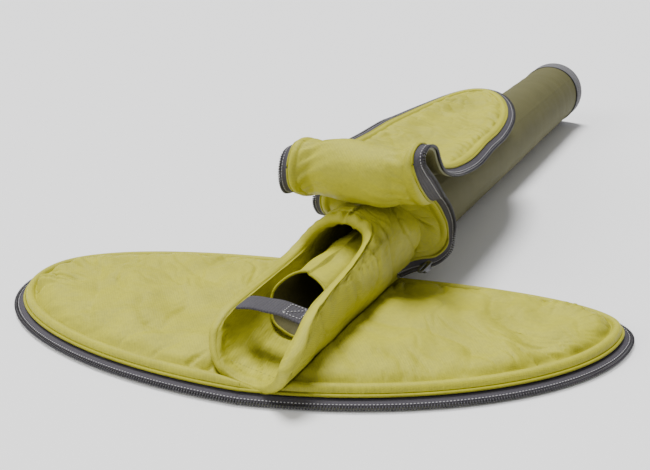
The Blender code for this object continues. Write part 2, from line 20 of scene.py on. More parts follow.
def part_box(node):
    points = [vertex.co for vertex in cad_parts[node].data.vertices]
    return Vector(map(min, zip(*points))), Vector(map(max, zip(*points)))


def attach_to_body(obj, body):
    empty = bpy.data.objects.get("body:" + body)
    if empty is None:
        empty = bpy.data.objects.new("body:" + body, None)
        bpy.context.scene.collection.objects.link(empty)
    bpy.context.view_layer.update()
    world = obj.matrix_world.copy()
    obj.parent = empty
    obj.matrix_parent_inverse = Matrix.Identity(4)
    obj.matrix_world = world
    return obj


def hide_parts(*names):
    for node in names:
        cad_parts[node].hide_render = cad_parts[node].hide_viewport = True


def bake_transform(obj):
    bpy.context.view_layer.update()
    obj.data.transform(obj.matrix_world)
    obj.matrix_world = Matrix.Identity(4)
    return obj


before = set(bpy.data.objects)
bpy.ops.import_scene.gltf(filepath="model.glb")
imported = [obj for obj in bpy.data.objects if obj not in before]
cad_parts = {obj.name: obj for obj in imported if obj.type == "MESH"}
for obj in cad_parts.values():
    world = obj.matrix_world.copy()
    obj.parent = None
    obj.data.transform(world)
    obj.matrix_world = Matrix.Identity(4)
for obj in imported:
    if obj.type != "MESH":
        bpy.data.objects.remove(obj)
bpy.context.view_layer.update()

MM = 0.001
CLOTH = 0.5 * MM  # thickness of plain cloth and of zip tape
LOG = logging.getLogger("rod_case")
Array = np.ndarray


# ---- mesh helpers ---------------------------------------------------------------------------
def make_object(name: str, points: Array, faces: Array, uv: Array | None = None) -> bpy.types.Object:
    """Make a smooth-shaded mesh object at the origin.

    Args:
        name: Object and mesh name.
        points: Vertices, shape (n, 3), in metres.
        faces: Vertex numbers of quads or triangles, shape (m, 4) or (m, 3).
        uv: Flat pattern place of each vertex, shape (n, 2), in metres.

    Returns:
        The new object, linked to the scene.
    """
    mesh = bpy.data.meshes.new(name)
    sides = faces.shape[1]
    mesh.vertices.add(len(points))
    mesh.vertices.foreach_set("co", np.ascontiguousarray(points, np.float32).ravel())
    mesh.loops.add(faces.size)
    mesh.loops.foreach_set("vertex_index", faces.astype(np.int32).ravel())
    mesh.polygons.add(len(faces))
    mesh.polygons.foreach_set("loop_start", np.arange(len(faces), dtype=np.int32) * sides)
    if uv is not None:
        layer = mesh.uv_layers.new(name="UVMap")
        layer.data.foreach_set("uv", np.asarray(uv[faces.ravel()], np.float32).ravel())
    mesh.update(calc_edges=True)
    mesh.validate()
    mesh.shade_smooth()
    obj = bpy.data.objects.new(name, mesh)
    bpy.context.scene.collection.objects.link(obj)
    return obj


def grid_faces(rows: int, columns: int, wrap_rows: bool = False, wrap_columns: bool = False) -> Array:
    """Quads of a grid whose points are numbered row by row.

    Args:
        rows: Number of rows of points.
        columns: Number of points in a row.
        wrap_rows: Join the last row to the first.
        wrap_columns: Join each row's last point to its first.

    Returns:
        Vertex numbers, shape (m, 4).
    """
    r = np.arange(rows if wrap_rows else rows - 1)
    c = np.arange(columns if wrap_columns else columns - 1)
    row, column = (a.ravel() for a in np.meshgrid(r, c, indexing="ij"))
    up, over = (row + 1) % rows, (column + 1) % columns
    return np.stack([row * columns + column, up * columns + column, up * columns + over,
                     row * columns + over], 1)


def weld(obj: bpy.types.Object, distance: float = 0.00002) -> bpy.types.Object:
    """Merge points that meet, such as a pole or a seam, and dissolve faces and edges that shrink to nothing.

    Args:
        obj: A mesh object.
        distance: Points nearer than this become one.

    Returns:
        The same object.
    """
    made = bmesh.new()
    made.from_mesh(obj.data)
    bmesh.ops.remove_doubles(made, verts=made.verts, dist=distance)
    bmesh.ops.dissolve_degenerate(made, dist=distance / 4, edges=made.edges)
    made.to_mesh(obj.data)
    made.free()
    obj.data.shade_smooth()
    return obj


def thicken(obj: bpy.types.Object, thickness: float) -> bpy.types.Object:
    """Give a sheet a thickness, away from the side that its faces look to.

    Args:
        obj: An open sheet.
        thickness: The distance between its two skins.

    Returns:
        The same object, now a closed shell.
    """
    step = obj.modifiers.new("thickness", "SOLIDIFY")
    step.thickness = thickness
    step.offset = -1.0
    step.use_even_offset = False
    graph = bpy.context.evaluated_depsgraph_get()
    mesh = bpy.data.meshes.new_from_object(obj.evaluated_get(graph))
    obj.modifiers.clear()
    obj.data = mesh
    return obj


def smooth_curve(points: Array, at: Array) -> Array:
    """Points on the cubic curve that runs through its control points.

    The curve between two neighbours is the Catmull-Rom cubic: it leaves each control point in the
    direction from the point before to the point after.

    Args:
        points: Control points, shape (k, d).
        at: Places along the curve, counted in control points from 0 to k - 1.

    Returns:
        Points, shape (len(at), d).
    """
    points = np.asarray(points, float)
    padded = np.vstack([2 * points[0] - points[1], points, 2 * points[-1] - points[-2]])
    at = np.clip(at, 0.0, len(points) - 1.0)
    low = np.minimum(at.astype(int), len(points) - 2)
    t = (at - low)[..., None]
    p0, p1, p2, p3 = (padded[low + i] for i in range(4))
    return 0.5 * (2 * p1 + (p2 - p0) * t + (2 * p0 - 5 * p1 + 4 * p2 - p3) * t**2
                  + (3 * p1 - p0 - 3 * p2 + p3) * t**3)


def lengths(points: Array) -> Array:
    """Length along a line of points, from its start to each point."""
    steps = np.linalg.norm(np.diff(points, axis=0), axis=1)
    return np.concatenate([[0.0], np.cumsum(steps)])


def resample(points: Array, spacing: float) -> Array:
    """The same line with evenly spaced points.

    Args:
        points: A line of points, shape (n, d).
        spacing: The distance wanted between points.

    Returns:
        The new points, with the same two ends.
    """
    run = lengths(points)
    return evenly(points, max(int(round(run[-1] / spacing)), 4) + 1)


def evenly(points: Array, count: int) -> Array:
    """The same line with a set number of evenly spaced points."""
    run = lengths(points)
    places = np.linspace(0.0, run[-1], count)
    return np.stack([np.interp(places, run, points[:, i]) for i in range(points.shape[1])], 1)


def smoothstep(low: float, high: float, value: Array) -> Array:
    """0 below low, 1 above high and a smooth S between."""
    t = np.clip((value - low) / (high - low), 0.0, 1.0)
    return t * t * (3 - 2 * t)


@dataclass(frozen=True)
class Ripples:
    """Soft random waves over a plane: a sum of sines of random direction and phase."""

    seed: int
    wavelength: float
    count: int = 9
    spread: float = 0.45

    def at(self, a: Array, b: Array) -> Array:
        """Height of the waves, about -1 to 1.

        Args:
            a: First coordinate of each point, in metres.
            b: Second coordinate.

        Returns:
            Heights with the shape of a.
        """
        rng = np.random.default_rng(self.seed)
        angle = rng.uniform(0, 2 * np.pi, self.count)
        size = 2 * np.pi / (self.wavelength * rng.uniform(1 - self.spread, 1 + self.spread, self.count))
        phase = rng.uniform(0, 2 * np.pi, self.count)
        waves = np.sin(np.multiply.outer(a, size * np.cos(angle))
                       + np.multiply.outer(b, size * np.sin(angle)) + phase)
        return waves.sum(-1) / math.sqrt(self.count) * 0.9

    def ridges(self, a: Array, b: Array, sharpness: float = 3.0) -> Array:
        """Narrow creases, 1 on the lines where the waves cross zero and 0 away from them."""
        return np.exp(-np.abs(self.at(a, b)) * sharpness)


# ---- finishes -------------------------------------------------------------------------------
class Place(Enum):
    """Which coordinates a pattern reads."""

    PATTERN = "uv"  # the piece's flat pattern, in metres
    SPACE = "object"  # the object's own space, in metres


class Graph:
    """A small writer of node trees."""

    def __init__(self, name: str) -> None:
        """Start a material with an empty Principled surface."""
        self.material = bpy.data.materials.new(name)
        self.material.use_nodes = True
        self.tree = self.material.node_tree
        self.shader = self.tree.nodes["Principled BSDF"]

    def node(self, kind: str, inputs: dict | None = None, **settings: object) -> bpy.types.Node:
        """Add a node, set its properties and fill its inputs with values or sockets."""
        made = self.tree.nodes.new(kind)
        for key, value in settings.items():
            setattr(made, key, value)
        for key, value in (inputs or {}).items():
            self.feed(made.inputs[key], value)
        return made

    def feed(self, socket: bpy.types.NodeSocket, value: object) -> None:
        """Link a socket to another, or set its value."""
        if isinstance(value, bpy.types.NodeSocket):
            self.tree.links.new(value, socket)
        else:
            socket.default_value = value

    def math(self, operation: str, first: object, second: object = 0.0) -> bpy.types.NodeSocket:
        """The result of one sum on two values or sockets."""
        return self.node("ShaderNodeMath", {0: first, 1: second}, operation=operation).outputs[0]

    def coordinates(self, place: Place) -> bpy.types.NodeSocket:
        """Coordinates in metres of the chosen kind."""
        if place is Place.PATTERN:
            return self.node("ShaderNodeUVMap", uv_map="UVMap").outputs["UV"]
        return self.node("ShaderNodeTexCoord").outputs["Object"]

    def noise(self, at: object, scale: float, detail: float = 3.0, rough: float = 0.55) -> object:
        """Cloud noise from 0 to 1; scale is in waves a metre."""
        inputs = {"Vector": at, "Scale": scale, "Detail": detail, "Roughness": rough}
        return self.node("ShaderNodeTexNoise", inputs).outputs["Fac"]

    def blend(self, factor: object, first: tuple, second: tuple) -> bpy.types.NodeSocket:
        """A colour between two colours."""
        made = self.node("ShaderNodeMix", data_type="RGBA")
        for index, value in ((0, factor), (6, first), (7, second)):
            self.feed(made.inputs[index], value)
        return made.outputs[2]

    def ramp(self, value: object, low: float, high: float) -> bpy.types.NodeSocket:
        """0 to 1 as a value goes from low to high."""
        inputs = {"Value": value, "From Min": low, "From Max": high}
        return self.node("ShaderNodeMapRange", inputs).outputs[0]

    def finish(self, values: dict, bump: object | None, depth: float) -> bpy.types.Material:
        """Set the surface's values and its bump, and return the material."""
        for key, value in values.items():
            self.feed(self.shader.inputs[key], value)
        if bump is not None:
            inputs = {"Height": bump, "Distance": depth, "Strength": 1.0}
            normal = self.node("ShaderNodeBump", inputs).outputs["Normal"]
            self.feed(self.shader.inputs["Normal"], normal)
        return self.material


def opaque(colour: tuple) -> tuple:
    """A colour with full alpha."""
    return (*colour, 1.0)


@dataclass(frozen=True)
class Woven:
    """Woven cloth: crossing threads, a faint twill line, puckers and uneven dye."""

    name: str
    slot: str
    colour: tuple
    shade: tuple
    pitch: float = 0.9 * MM
    roughness: float = 0.5
    sheen: float = 0.04
    gloss: float = 0.28
    depth: float = 0.16 * MM
    pucker: float = 0.7
    place: Place = Place.PATTERN

    def build(self) -> bpy.types.Material:
        """Write the node tree.

        The threads' height is the product of one sine across the warp and one across the weft.
        """
        g = Graph(self.name)
        at = g.coordinates(self.place)
        parts = g.node("ShaderNodeSeparateXYZ", {0: at}).outputs
        turns = 2 * math.pi / self.pitch
        if self.place is Place.PATTERN:
            across, along = parts[0], parts[1]
        else:
            across, along = g.math("ADD", parts[0], parts[2]), parts[1]
        warp = g.math("SINE", g.math("MULTIPLY", across, turns))
        weft = g.math("SINE", g.math("MULTIPLY", along, turns))
        cross = g.math("MULTIPLY", warp, weft)
        slant = g.math("SINE", g.math("MULTIPLY", g.math("ADD", across, along), turns / 2.6))
        threads = g.math("ADD", cross, g.math("MULTIPLY", slant, 0.45))
        soft = g.noise(at, 24.0, 4.0, 0.6)
        fine = g.noise(at, 420.0, 3.0, 0.6)
        tone = g.math("ADD", g.math("MULTIPLY", soft, 0.55), g.math("MULTIPLY", fine, 0.45))
        tone = g.math("ADD", tone, g.math("MULTIPLY", threads, 0.07))
        colour = g.blend(g.ramp(tone, 0.28, 0.72), opaque(self.shade), opaque(self.colour))
        crinkle = g.noise(at, 150.0, 4.0, 0.65)
        height = g.math("ADD", g.math("MULTIPLY", threads, 0.35), g.math("MULTIPLY", fine, 0.8))
        height = g.math("ADD", height, g.math("MULTIPLY", crinkle, self.pucker * 4))
        rough = g.math("ADD", g.math("MULTIPLY", fine, 0.16), self.roughness - 0.08)
        values = {
            "Base Color": colour, "Roughness": rough, "Sheen Weight": self.sheen,
            "Sheen Roughness": 0.35, "Specular IOR Level": self.gloss,
            "Sheen Tint": opaque(self.colour),
        }
        return g.finish(values, height, self.depth)


@dataclass(frozen=True)
class Ribbed:
    """Zip tape or webbing: ribs across a band, with a herringbone between them."""

    name: str
    slot: str
    colour: tuple
    shade: tuple
    rib: float = 1.3 * MM
    place: Place = Place.PATTERN

    def build(self) -> bpy.types.Material:
        """Write the node tree: one sine for the ribs and a zigzag of slanting threads."""
        g = Graph(self.name)
        at = g.coordinates(self.place)
        parts = g.node("ShaderNodeSeparateXYZ", {0: at}).outputs
        turns = 2 * math.pi / self.rib
        ribs = g.math("SINE", g.math("MULTIPLY", parts[1], turns))
        zigzag = g.math("PINGPONG", parts[1], self.rib)
        slant = g.math("ADD", parts[0], zigzag)
        threads = g.math("SINE", g.math("MULTIPLY", slant, 2.2 * turns))
        fine = g.noise(at, 900.0, 2.0, 0.6)
        tone = g.math("ADD", g.math("MULTIPLY", threads, 0.25), fine)
        tone = g.math("ADD", tone, g.math("MULTIPLY", ribs, 0.10))
        colour = g.blend(g.ramp(tone, 0.2, 0.85), opaque(self.shade), opaque(self.colour))
        height = g.math("ADD", g.math("MULTIPLY", ribs, 0.5), g.math("MULTIPLY", threads, 0.5))
        values = {"Base Color": colour, "Roughness": 0.78, "Sheen Weight": 0.03,
                  "Specular IOR Level": 0.3}
        return g.finish(values, height, 0.10 * MM)


@dataclass(frozen=True)
class Solid:
    """Moulded plastic, foam or metal: one colour with fine mottling and light wear."""

    name: str
    slot: str
    colour: tuple
    shade: tuple
    roughness: float = 0.4
    metallic: float = 0.0
    grain: float = 600.0
    depth: float = 0.03 * MM

    def build(self) -> bpy.types.Material:
        """Write the node tree."""
        g = Graph(self.name)
        at = g.coordinates(Place.SPACE)
        fine = g.noise(at, self.grain, 3.0, 0.6)
        broad = g.noise(at, 60.0, 2.0, 0.5)
        tone = g.math("ADD", g.math("MULTIPLY", fine, 0.6), g.math("MULTIPLY", broad, 0.4))
        colour = g.blend(g.ramp(tone, 0.3, 0.7), opaque(self.shade), opaque(self.colour))
        rough = g.math("ADD", g.math("MULTIPLY", fine, 0.2), self.roughness - 0.1)
        values = {"Base Color": colour, "Roughness": rough, "Metallic": self.metallic}
        return g.finish(values, fine, self.depth)


LIME = (0.525, 0.500, 0.030)
LIME_SHADE = (0.335, 0.320, 0.032)
FINISHES = {
    "lime": Woven("lime_nylon", "lime_nylon", LIME, LIME_SHADE),
    "lime_dark": Woven("lime_binding", "lime_nylon", (0.42, 0.40, 0.020), (0.27, 0.26, 0.010)),
    "olive": Woven("olive_nylon", "olive_nylon", (0.122, 0.114, 0.044), (0.085, 0.081, 0.030),
                   pitch=1.3 * MM, roughness=0.7, sheen=0.02, gloss=0.25, pucker=0.25),
    "olive_edge": Woven("olive_binding", "olive_nylon", (0.30, 0.30, 0.20), (0.22, 0.22, 0.14),
                        roughness=0.7, sheen=0.02, gloss=0.25, pucker=0.2),
    "brown": Woven("brown_nylon", "brown_nylon", (0.115, 0.105, 0.040), (0.070, 0.064, 0.024),
                   roughness=0.7, gloss=0.25),
    "brown_space": Woven("brown_cloth", "brown_nylon", (0.115, 0.105, 0.040), (0.070, 0.064, 0.024),
                         roughness=0.7, gloss=0.25, place=Place.SPACE),
    "tape": Ribbed("zip_tape", "zip_tape", (0.092, 0.085, 0.100), (0.045, 0.041, 0.050)),
    "band": Ribbed("grey_webbing", "zip_tape", (0.185, 0.182, 0.190), (0.120, 0.117, 0.125)),
    "webbing": Ribbed("strap_weave", "zip_tape", (0.085, 0.080, 0.092), (0.035, 0.033, 0.040), 2.2 * MM),
    "coil": Solid("zip_coil", "zip_teeth", (0.042, 0.039, 0.046), (0.020, 0.018, 0.022), 0.36),
    "thread": Solid("grey_thread", "zip_tape", (0.60, 0.59, 0.60), (0.42, 0.41, 0.43), 0.7),
    "lime_thread": Solid("lime_thread", "lime_nylon", (0.44, 0.43, 0.07), (0.30, 0.29, 0.04), 0.7),
    "trim": Solid("dark_cord", "trim", (0.035, 0.034, 0.040), (0.020, 0.019, 0.024), 0.5),
    "plastic": Solid("tube_plastic", "tube_plastic", (0.060, 0.060, 0.060), (0.04, 0.04, 0.04), 0.5),
    "foam": Solid("foam", "foam", (0.62, 0.60, 0.52), (0.50, 0.48, 0.40), 0.9, 0.0, 900.0),
    "metal": Solid("dark_metal", "slider_metal", (0.16, 0.16, 0.17), (0.10, 0.10, 0.11), 0.35, 0.9),
}
_made: dict[str, bpy.types.Material] = {}


def material(name: str) -> bpy.types.Material:
    """The material of a finish, made once."""
    if name not in _made:
        _made[name] = FINISHES[name].build()
    return _made[name]


def dress(obj: bpy.types.Object, finish: str) -> bpy.types.Object:
    """Give a new piece its finish."""
    obj.data.materials.clear()
    obj.data.materials.append(material(finish))
    LOG.info("%s: %d faces, %s", obj.name, len(obj.data.polygons), finish)
    return obj


def fit(obj: bpy.types.Object, finish: str, body: str, *nodes: str) -> bpy.types.Object:
    """Dress a piece, let it ride on one body and hide the CAD nodes that it stands for.

    Args:
        obj: The piece.
        finish: Name of its finish.
        body: Name of the body that carries it.
        nodes: The CAD nodes that it replaces, if any.

    Returns:
        The same piece.
    """
    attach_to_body(dress(obj, finish), body)
    if nodes:
        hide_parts(*nodes)
    return obj


# ---- flat pattern ---------------------------------------------------------------------------
@dataclass
class Pattern:
    """A piece's flat outline and the line that its columns run in to."""

    outline: Array  # (n, 2), from one end of the edge to the other
    spine: Array  # (n, 2), where each column ends

    def inward(self) -> Array:
        """Unit vectors from the outline towards the inside, square to the outline."""
        along = np.gradient(self.outline, axis=0)
        along /= np.linalg.norm(along, axis=1)[:, None]
        square = np.stack([-along[:, 1], along[:, 0]], 1)
        side = np.sign(np.sum(square * (self.spine - self.outline)))
        return square * side

    def rings(self, insets: Array, fractions: Array) -> tuple[Array, Array]:
        """Points inset from the outline, then points on the way from there to the spine.

        Args:
            insets: Distances from the outline, rising.
            fractions: Parts of the remaining way to the spine, rising to 1.

        Returns:
            Flat points, shape (n, k, 2), and their distance from the outline, shape (n, k).
        """
        inward = self.inward()
        near = self.outline[:, None] + inward[:, None] * insets[None, :, None]
        last = near[:, -1:]
        way = self.spine[:, None] - last
        far = last + way * fractions[None, :, None]
        reach = np.linalg.norm(way, axis=2) * fractions[None]
        depth = np.concatenate([np.broadcast_to(insets, near.shape[:2]), insets[-1] + reach], 1)
        return np.concatenate([near, far], 1), depth


def profile(pairs: tuple) -> tuple[Array, Array]:
    """Insets and heights in metres from pairs in millimetres."""
    values = np.array(pairs, float) * MM
    return values[:, 0], values[:, 1]


# ---- the oval panel -------------------------------------------------------------------------
@dataclass
class Panel:
    """The oval panel that lies on the floor, in two halves that meet under the hood."""

    front: float = 128 * MM
    middle_y: float = 30 * MM
    front_power: float = 2.0
    back_power: float = 2.3
    halves: dict = field(default_factory=lambda: {
        "left": (242 * MM, 82 * MM, 0.20), "right": (206 * MM, 68 * MM, 0.30)})
    notch_y: float = 98 * MM  # the back edge's middle, under the hood
    notch_x: float = 44 * MM
    zip_z: float = 2.6 * MM
    spacing: float = 2.0 * MM
    columns: int = 190  # columns from the middle to the tip, in front and again behind
    fold_x: float = 64 * MM
    hood_radius: float = 36.6 * MM
    hood_z: float = 38 * MM
    # heights of the cloth near the edge, over the zip's own level, as (inset, height)
    lining: tuple = ((8.4, 3.0), (8.4, 5.0), (8.6, 6.6), (9.2, 8.6), (10.2, 10.0), (11.6, 10.6),
                     (13.4, 10.4), (14.6, 9.4), (15.2, 8.2), (15.6, 7.4), (16.0, 7.6))
    shell: tuple = ((3.4, -0.2), (3.2, -1.2), (4.5, -2.0), (9.0, -2.2))
    crown: float = 10.5 * MM  # how far the padding rises over the seam
    crown_reach: float = 8 * MM  # how fast it rises
    lowest: float = 1.9 * MM  # the lining stays over this height
    fold_softness: float = 16 * MM  # a spread to both sides of fold_x

    def outline(self, name: str) -> Array:
        """The zip's line round one half, from the front middle to the notch behind the hood.

        Away from the tube the line is a superellipse: the sideways and lengthways distances from
        the middle, each over its reach and raised to the power, add up to one. It is then slanted.
        """
        reach, back, slant = self.halves[name]
        side = 1.0 if name == "right" else -1.0
        angle = np.linspace(0, math.pi / 2, 240)
        lines = []
        for power, depth in ((self.front_power, -self.front), (self.back_power, back)):
            out = np.sin(angle) ** (2 / power) * reach
            away = np.cos(angle) ** (2 / power) * depth
            lines.append(np.stack([side * out, self.middle_y + away + slant * out * side], 1))
        ahead, behind = lines[0], lines[1][::-1]
        behind = behind[np.abs(behind[:, 0]) > self.notch_x]
        turn = behind[-1] * np.array([0.5, 1.0]) - np.array([0.0, 6 * MM])
        turn = np.array([turn, [0.0, self.notch_y]])
        line = resample(np.vstack([ahead, behind[1:], turn]), self.spacing)
        kernel = np.hanning(17)[1:-1] / np.hanning(17).sum()
        half = len(kernel) // 2
        ends = np.vstack([2 * line[0] - line[half:0:-1], line, 2 * line[-1] - line[-2:-half - 2:-1]])
        line = np.stack([np.convolve(ends[:, i], kernel, "valid") for i in range(2)], 1)
        tip = int(np.abs(line[:, 0]).argmax())
        return np.vstack([evenly(line[:tip + 1], self.columns), evenly(line[tip:], self.columns)[1:]])

    def pattern(self, name: str) -> Pattern:
        """The flat pattern of one half; its columns run in to the half's long middle line."""
        line = self.outline(name)
        _, back, slant = self.halves[name]
        side = 1.0 if name == "right" else -1.0
        x = np.abs(line[:, 0] + line[::-1, 0]) / 2 * 0.66
        y = self.middle_y + (back - self.front) / 2 * 0.8 + slant * x * side
        return Pattern(line, np.stack([side * x, y], 1))

    def wrinkles(self, flat: Array, depth: Array, run: Array, seed: int) -> Array:
        """Height added by folds: broad swells inside and sharp puckers that start at the seam.

        Args:
            flat: Pattern points, shape (n, k, 2).
            depth: Distance of each point from the edge.
            run: Length along the edge of each column, shape (n, 1).
            seed: Picks the folds.

        Returns:
            Heights, shape (n, k).
        """
        x, y = flat[..., 0], flat[..., 1]
        inside = smoothstep(16 * MM, 36 * MM, depth)
        start = smoothstep(15.5 * MM, 19 * MM, depth)
        swell = Ripples(seed, 95 * MM).at(x, y) * 3.2 * MM * inside
        swell = swell + Ripples(seed + 1, 46 * MM).at(x, y) * 1.5 * MM * inside
        fade = np.exp(-np.maximum(depth - 17 * MM, 0) / (20 * MM)) * (1 - smoothstep(38 * MM, 64 * MM, depth))
        lean = run + 0.55 * depth + 6 * MM * Ripples(seed + 2, 60 * MM).at(x, y)
        strength = np.clip(0.35 + 0.95 * Ripples(seed + 3, 110 * MM).at(run, run * 0), 0.2, 1.5)
        pucker = Ripples(seed + 4, 19 * MM, 7, 0.5).at(lean, depth * 0.35)
        crease = Ripples(seed + 5, 30 * MM, 6, 0.4).ridges(lean, depth * 0.5, 4.0)
        folds = (pucker * 4.2 - crease * 6.6) * MM * strength * fade * start
        bent_x = x + 9 * MM * Ripples(seed + 8, 55 * MM).at(x, y)
        creases = Ripples(seed + 6, 105 * MM, 8).ridges(bent_x, y, 8.0) * -2.1 * MM * inside
        fine = Ripples(seed + 7, 34 * MM, 10).ridges(bent_x + 0.4 * y, y, 5.0) * -0.8 * MM * inside
        grain = Ripples(seed + 10, 11 * MM, 12).at(bent_x, y + 0.3 * x) * 0.16 * MM * inside
        return swell + folds + creases + fine + grain

    def hood_bed(self, points: Array) -> Array:
        """Lower what lies under the hood so that it stays outside the hood's round wall."""
        x = np.abs(points[..., 0])
        gap = np.sqrt(np.maximum(self.hood_radius**2 - np.minimum(x, self.hood_radius) ** 2, 0))
        limit = self.hood_z - gap - 0.6 * MM
        limit = np.where(x < self.hood_radius, np.maximum(limit, 1.7 * MM), 1.0)
        behind = smoothstep(-90 * MM, -80 * MM, points[..., 1])
        lowered = np.minimum(points[..., 2], limit)
        points[..., 2] += (lowered - points[..., 2]) * behind
        return points

    def ring_line(self, pattern: Pattern, inset: float, height: float) -> Array:
        """A line round the panel at one inset and one height over the zip."""
        flat = pattern.outline + pattern.inward() * inset
        return np.column_stack([flat, np.full(len(flat), self.zip_z + height)])

    def build(self) -> None:
        """Make both halves of the panel."""
        for seed, name in ((11, "left"), (47, "right")):
            self.build_half(name, seed)

    def build_half(self, name: str, seed: int) -> None:
        """Make one half: lining, shell and zip.

        Args:
            name: "left" or "right".
            seed: Picks the folds.
        """
        pattern = self.pattern(name)
        flip = name == "left"
        insets, heights = profile(self.lining)
        fractions = np.linspace(0, 1, 34)[1:] ** 1.15
        flat, depth = pattern.rings(insets, fractions)
        run = lengths(pattern.outline)[:, None]
        beyond = np.maximum(depth - insets[-1], 0)
        base = np.interp(depth, insets, heights)
        crown = self.crown * (1 - np.exp(-beyond / self.crown_reach))
        z = self.zip_z + base + crown + self.wrinkles(flat, depth, run, seed)
        points = self.hood_bed(np.dstack([flat, z]))
        points[..., 2] = np.maximum(points[..., 2], self.lowest)
        lining = self.sheet(f"{name}_panel_lining", points, flat, flip, "lime")
        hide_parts(*self.stands_for(name, "lining", "foam"))

        insets, heights = profile(self.shell)
        flat, depth = pattern.rings(insets, np.linspace(0, 1, 14)[1:])
        z = self.zip_z + np.interp(depth, insets, heights)
        under = Ripples(seed + 9, 70 * MM).at(flat[..., 0], flat[..., 1]) * 0.25 * MM + 0.25 * MM
        z = np.maximum(z + under * smoothstep(9 * MM, 20 * MM, depth), 0.1 * MM)
        shell = self.sheet(f"{name}_panel_shell", np.dstack([flat, z]), flat, not flip, "olive")
        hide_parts(*self.stands_for(name, "shell"))

        edge = ZipEdge(f"{name}_panel", PANEL_ZIP,
                       lambda inset, height: self.ring_line(pattern, inset, height),
                       lambda piece: self.join(piece, name))
        edge.build(flip, self.stands_for(name, "zip_tape"), self.stands_for(name, "zip_teeth"))

    @staticmethod
    def stands_for(name: str, *layers: str) -> list[str]:
        """The CAD nodes of some layers of a half; the left half takes the base strip's too."""
        parts = (name, "base") if name == "left" else (name,)
        return [f"{part}_{layer}" for part in parts for layer in layers]

    def sheet(self, name: str, points: Array, uv: Array, flip: bool, finish: str) -> bpy.types.Object:
        """Make one layer of a half and bake its place into its points.

        Args:
            name: Piece name; it starts with the half's name.
            points: Grid of points, shape (n, k, 3).
            uv: Flat pattern of the grid, shape (n, k, 2).
            flip: Turn the faces over.
            finish: Name of the finish.

        Returns:
            The finished piece.
        """
        obj = dress(sheet_object(name, points, uv, flip, CLOTH), finish)
        return self.join(obj, name.split("_")[0])

    def join(self, obj: bpy.types.Object, name: str) -> bpy.types.Object:
        """Bake a piece's place into its points."""
        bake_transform(obj)
        return obj


def sheet_object(name: str, points: Array, uv: Array, flip: bool, thickness: float) -> bpy.types.Object:
    """A grid of points as a closed sheet of cloth.

    Args:
        name: Piece name.
        points: Grid of points, shape (n, k, 3).
        uv: Flat pattern of the grid, shape (n, k, 2).
        flip: Turn the faces over.
        thickness: Thickness of the cloth, behind the faces.

    Returns:
        The finished object.
    """
    rows, columns = points.shape[:2]
    faces = grid_faces(rows, columns)
    if flip:
        faces = faces[:, ::-1]
    obj = weld(make_object(name, points.reshape(-1, 3), faces, uv.reshape(-1, 2)))
    return thicken(obj, thickness)


def frames_along(points: Array, closed: bool = False) -> tuple[Array, Array]:
    """Two unit vectors square to a line at each of its points, turning as little as they can.

    Args:
        points: The line, shape (n, 3).
        closed: The line's end meets its start.

    Returns:
        Side and top vectors, each of shape (n, 3).
    """
    ahead = np.roll(points, -1, 0) - np.roll(points, 1, 0) if closed else np.gradient(points, axis=0)
    ahead = ahead / np.linalg.norm(ahead, axis=1)[:, None]
    up = np.array([0.0, 0.0, 1.0]) + 1e-4
    side = np.cross(ahead, up)
    weak = np.linalg.norm(side, axis=1) < 0.2
    side[weak] = np.cross(ahead[weak], np.array([0.0, 1.0, 0.0]))
    side /= np.linalg.norm(side, axis=1)[:, None]
    return side, np.cross(side, ahead)


def tube_along(name: str, line: Array, radius: float, sides: int = 8,
               closed: bool = False) -> bpy.types.Object:
    """A round cord: a circle of the radius carried along a line, with closed ends.

    Args:
        name: Piece name.
        line: Points of the middle line, shape (n, 3).
        radius: Cord radius.
        sides: Points on the circle.
        closed: The line's end meets its start.

    Returns:
        The new object.
    """
    side, top = frames_along(line, closed)
    angle = np.linspace(0, 2 * np.pi, sides, endpoint=False)
    ring = side[:, None] * np.cos(angle)[None, :, None] + top[:, None] * np.sin(angle)[None, :, None]
    points = line[:, None] + ring * radius
    run = lengths(line)
    uv = np.dstack([np.broadcast_to(run[:, None], points.shape[:2]),
                    np.broadcast_to(angle * radius, points.shape[:2])])
    if not closed:
        points = np.concatenate([line[:1, None] + 0 * points[:1], points, line[-1:, None] + 0 * points[-1:]])
        uv = np.concatenate([uv[:1], uv, uv[-1:]])
    faces = grid_faces(points.shape[0], sides, wrap_rows=closed, wrap_columns=True)[:, ::-1]
    return weld(make_object(name, points.reshape(-1, 3), faces, uv.reshape(-1, 2)), 1e-6)


def pebble(across: float, along: float, high: float, power: float, rings: int = 5,
           sides: int = 8) -> tuple[Array, Array]:
    """A rounded block: a superellipsoid, the sphere's formula with its sines and cosines powered.

    Args:
        across: Half its size along its first axis.
        along: Half its size along its second axis.
        high: Half its size along its third axis.
        power: 1 for an ellipsoid, towards 0 for a box.
        rings: Points from pole to pole.
        sides: Points round it.

    Returns:
        Vertices and quads.
    """
    def powered(value: Array) -> Array:
        return np.sign(value) * np.abs(value) ** power

    v = np.linspace(-np.pi / 2, np.pi / 2, rings)[:, None]
    u = np.linspace(0, 2 * np.pi, sides, endpoint=False)[None]
    x = across * powered(np.cos(v)) * powered(np.cos(u))
    y = along * powered(np.cos(v)) * powered(np.sin(u))
    z = high * powered(np.sin(v)) + 0 * u
    return np.dstack([x, y, z]).reshape(-1, 3), grid_faces(rings, sides, wrap_columns=True)[:, ::-1]


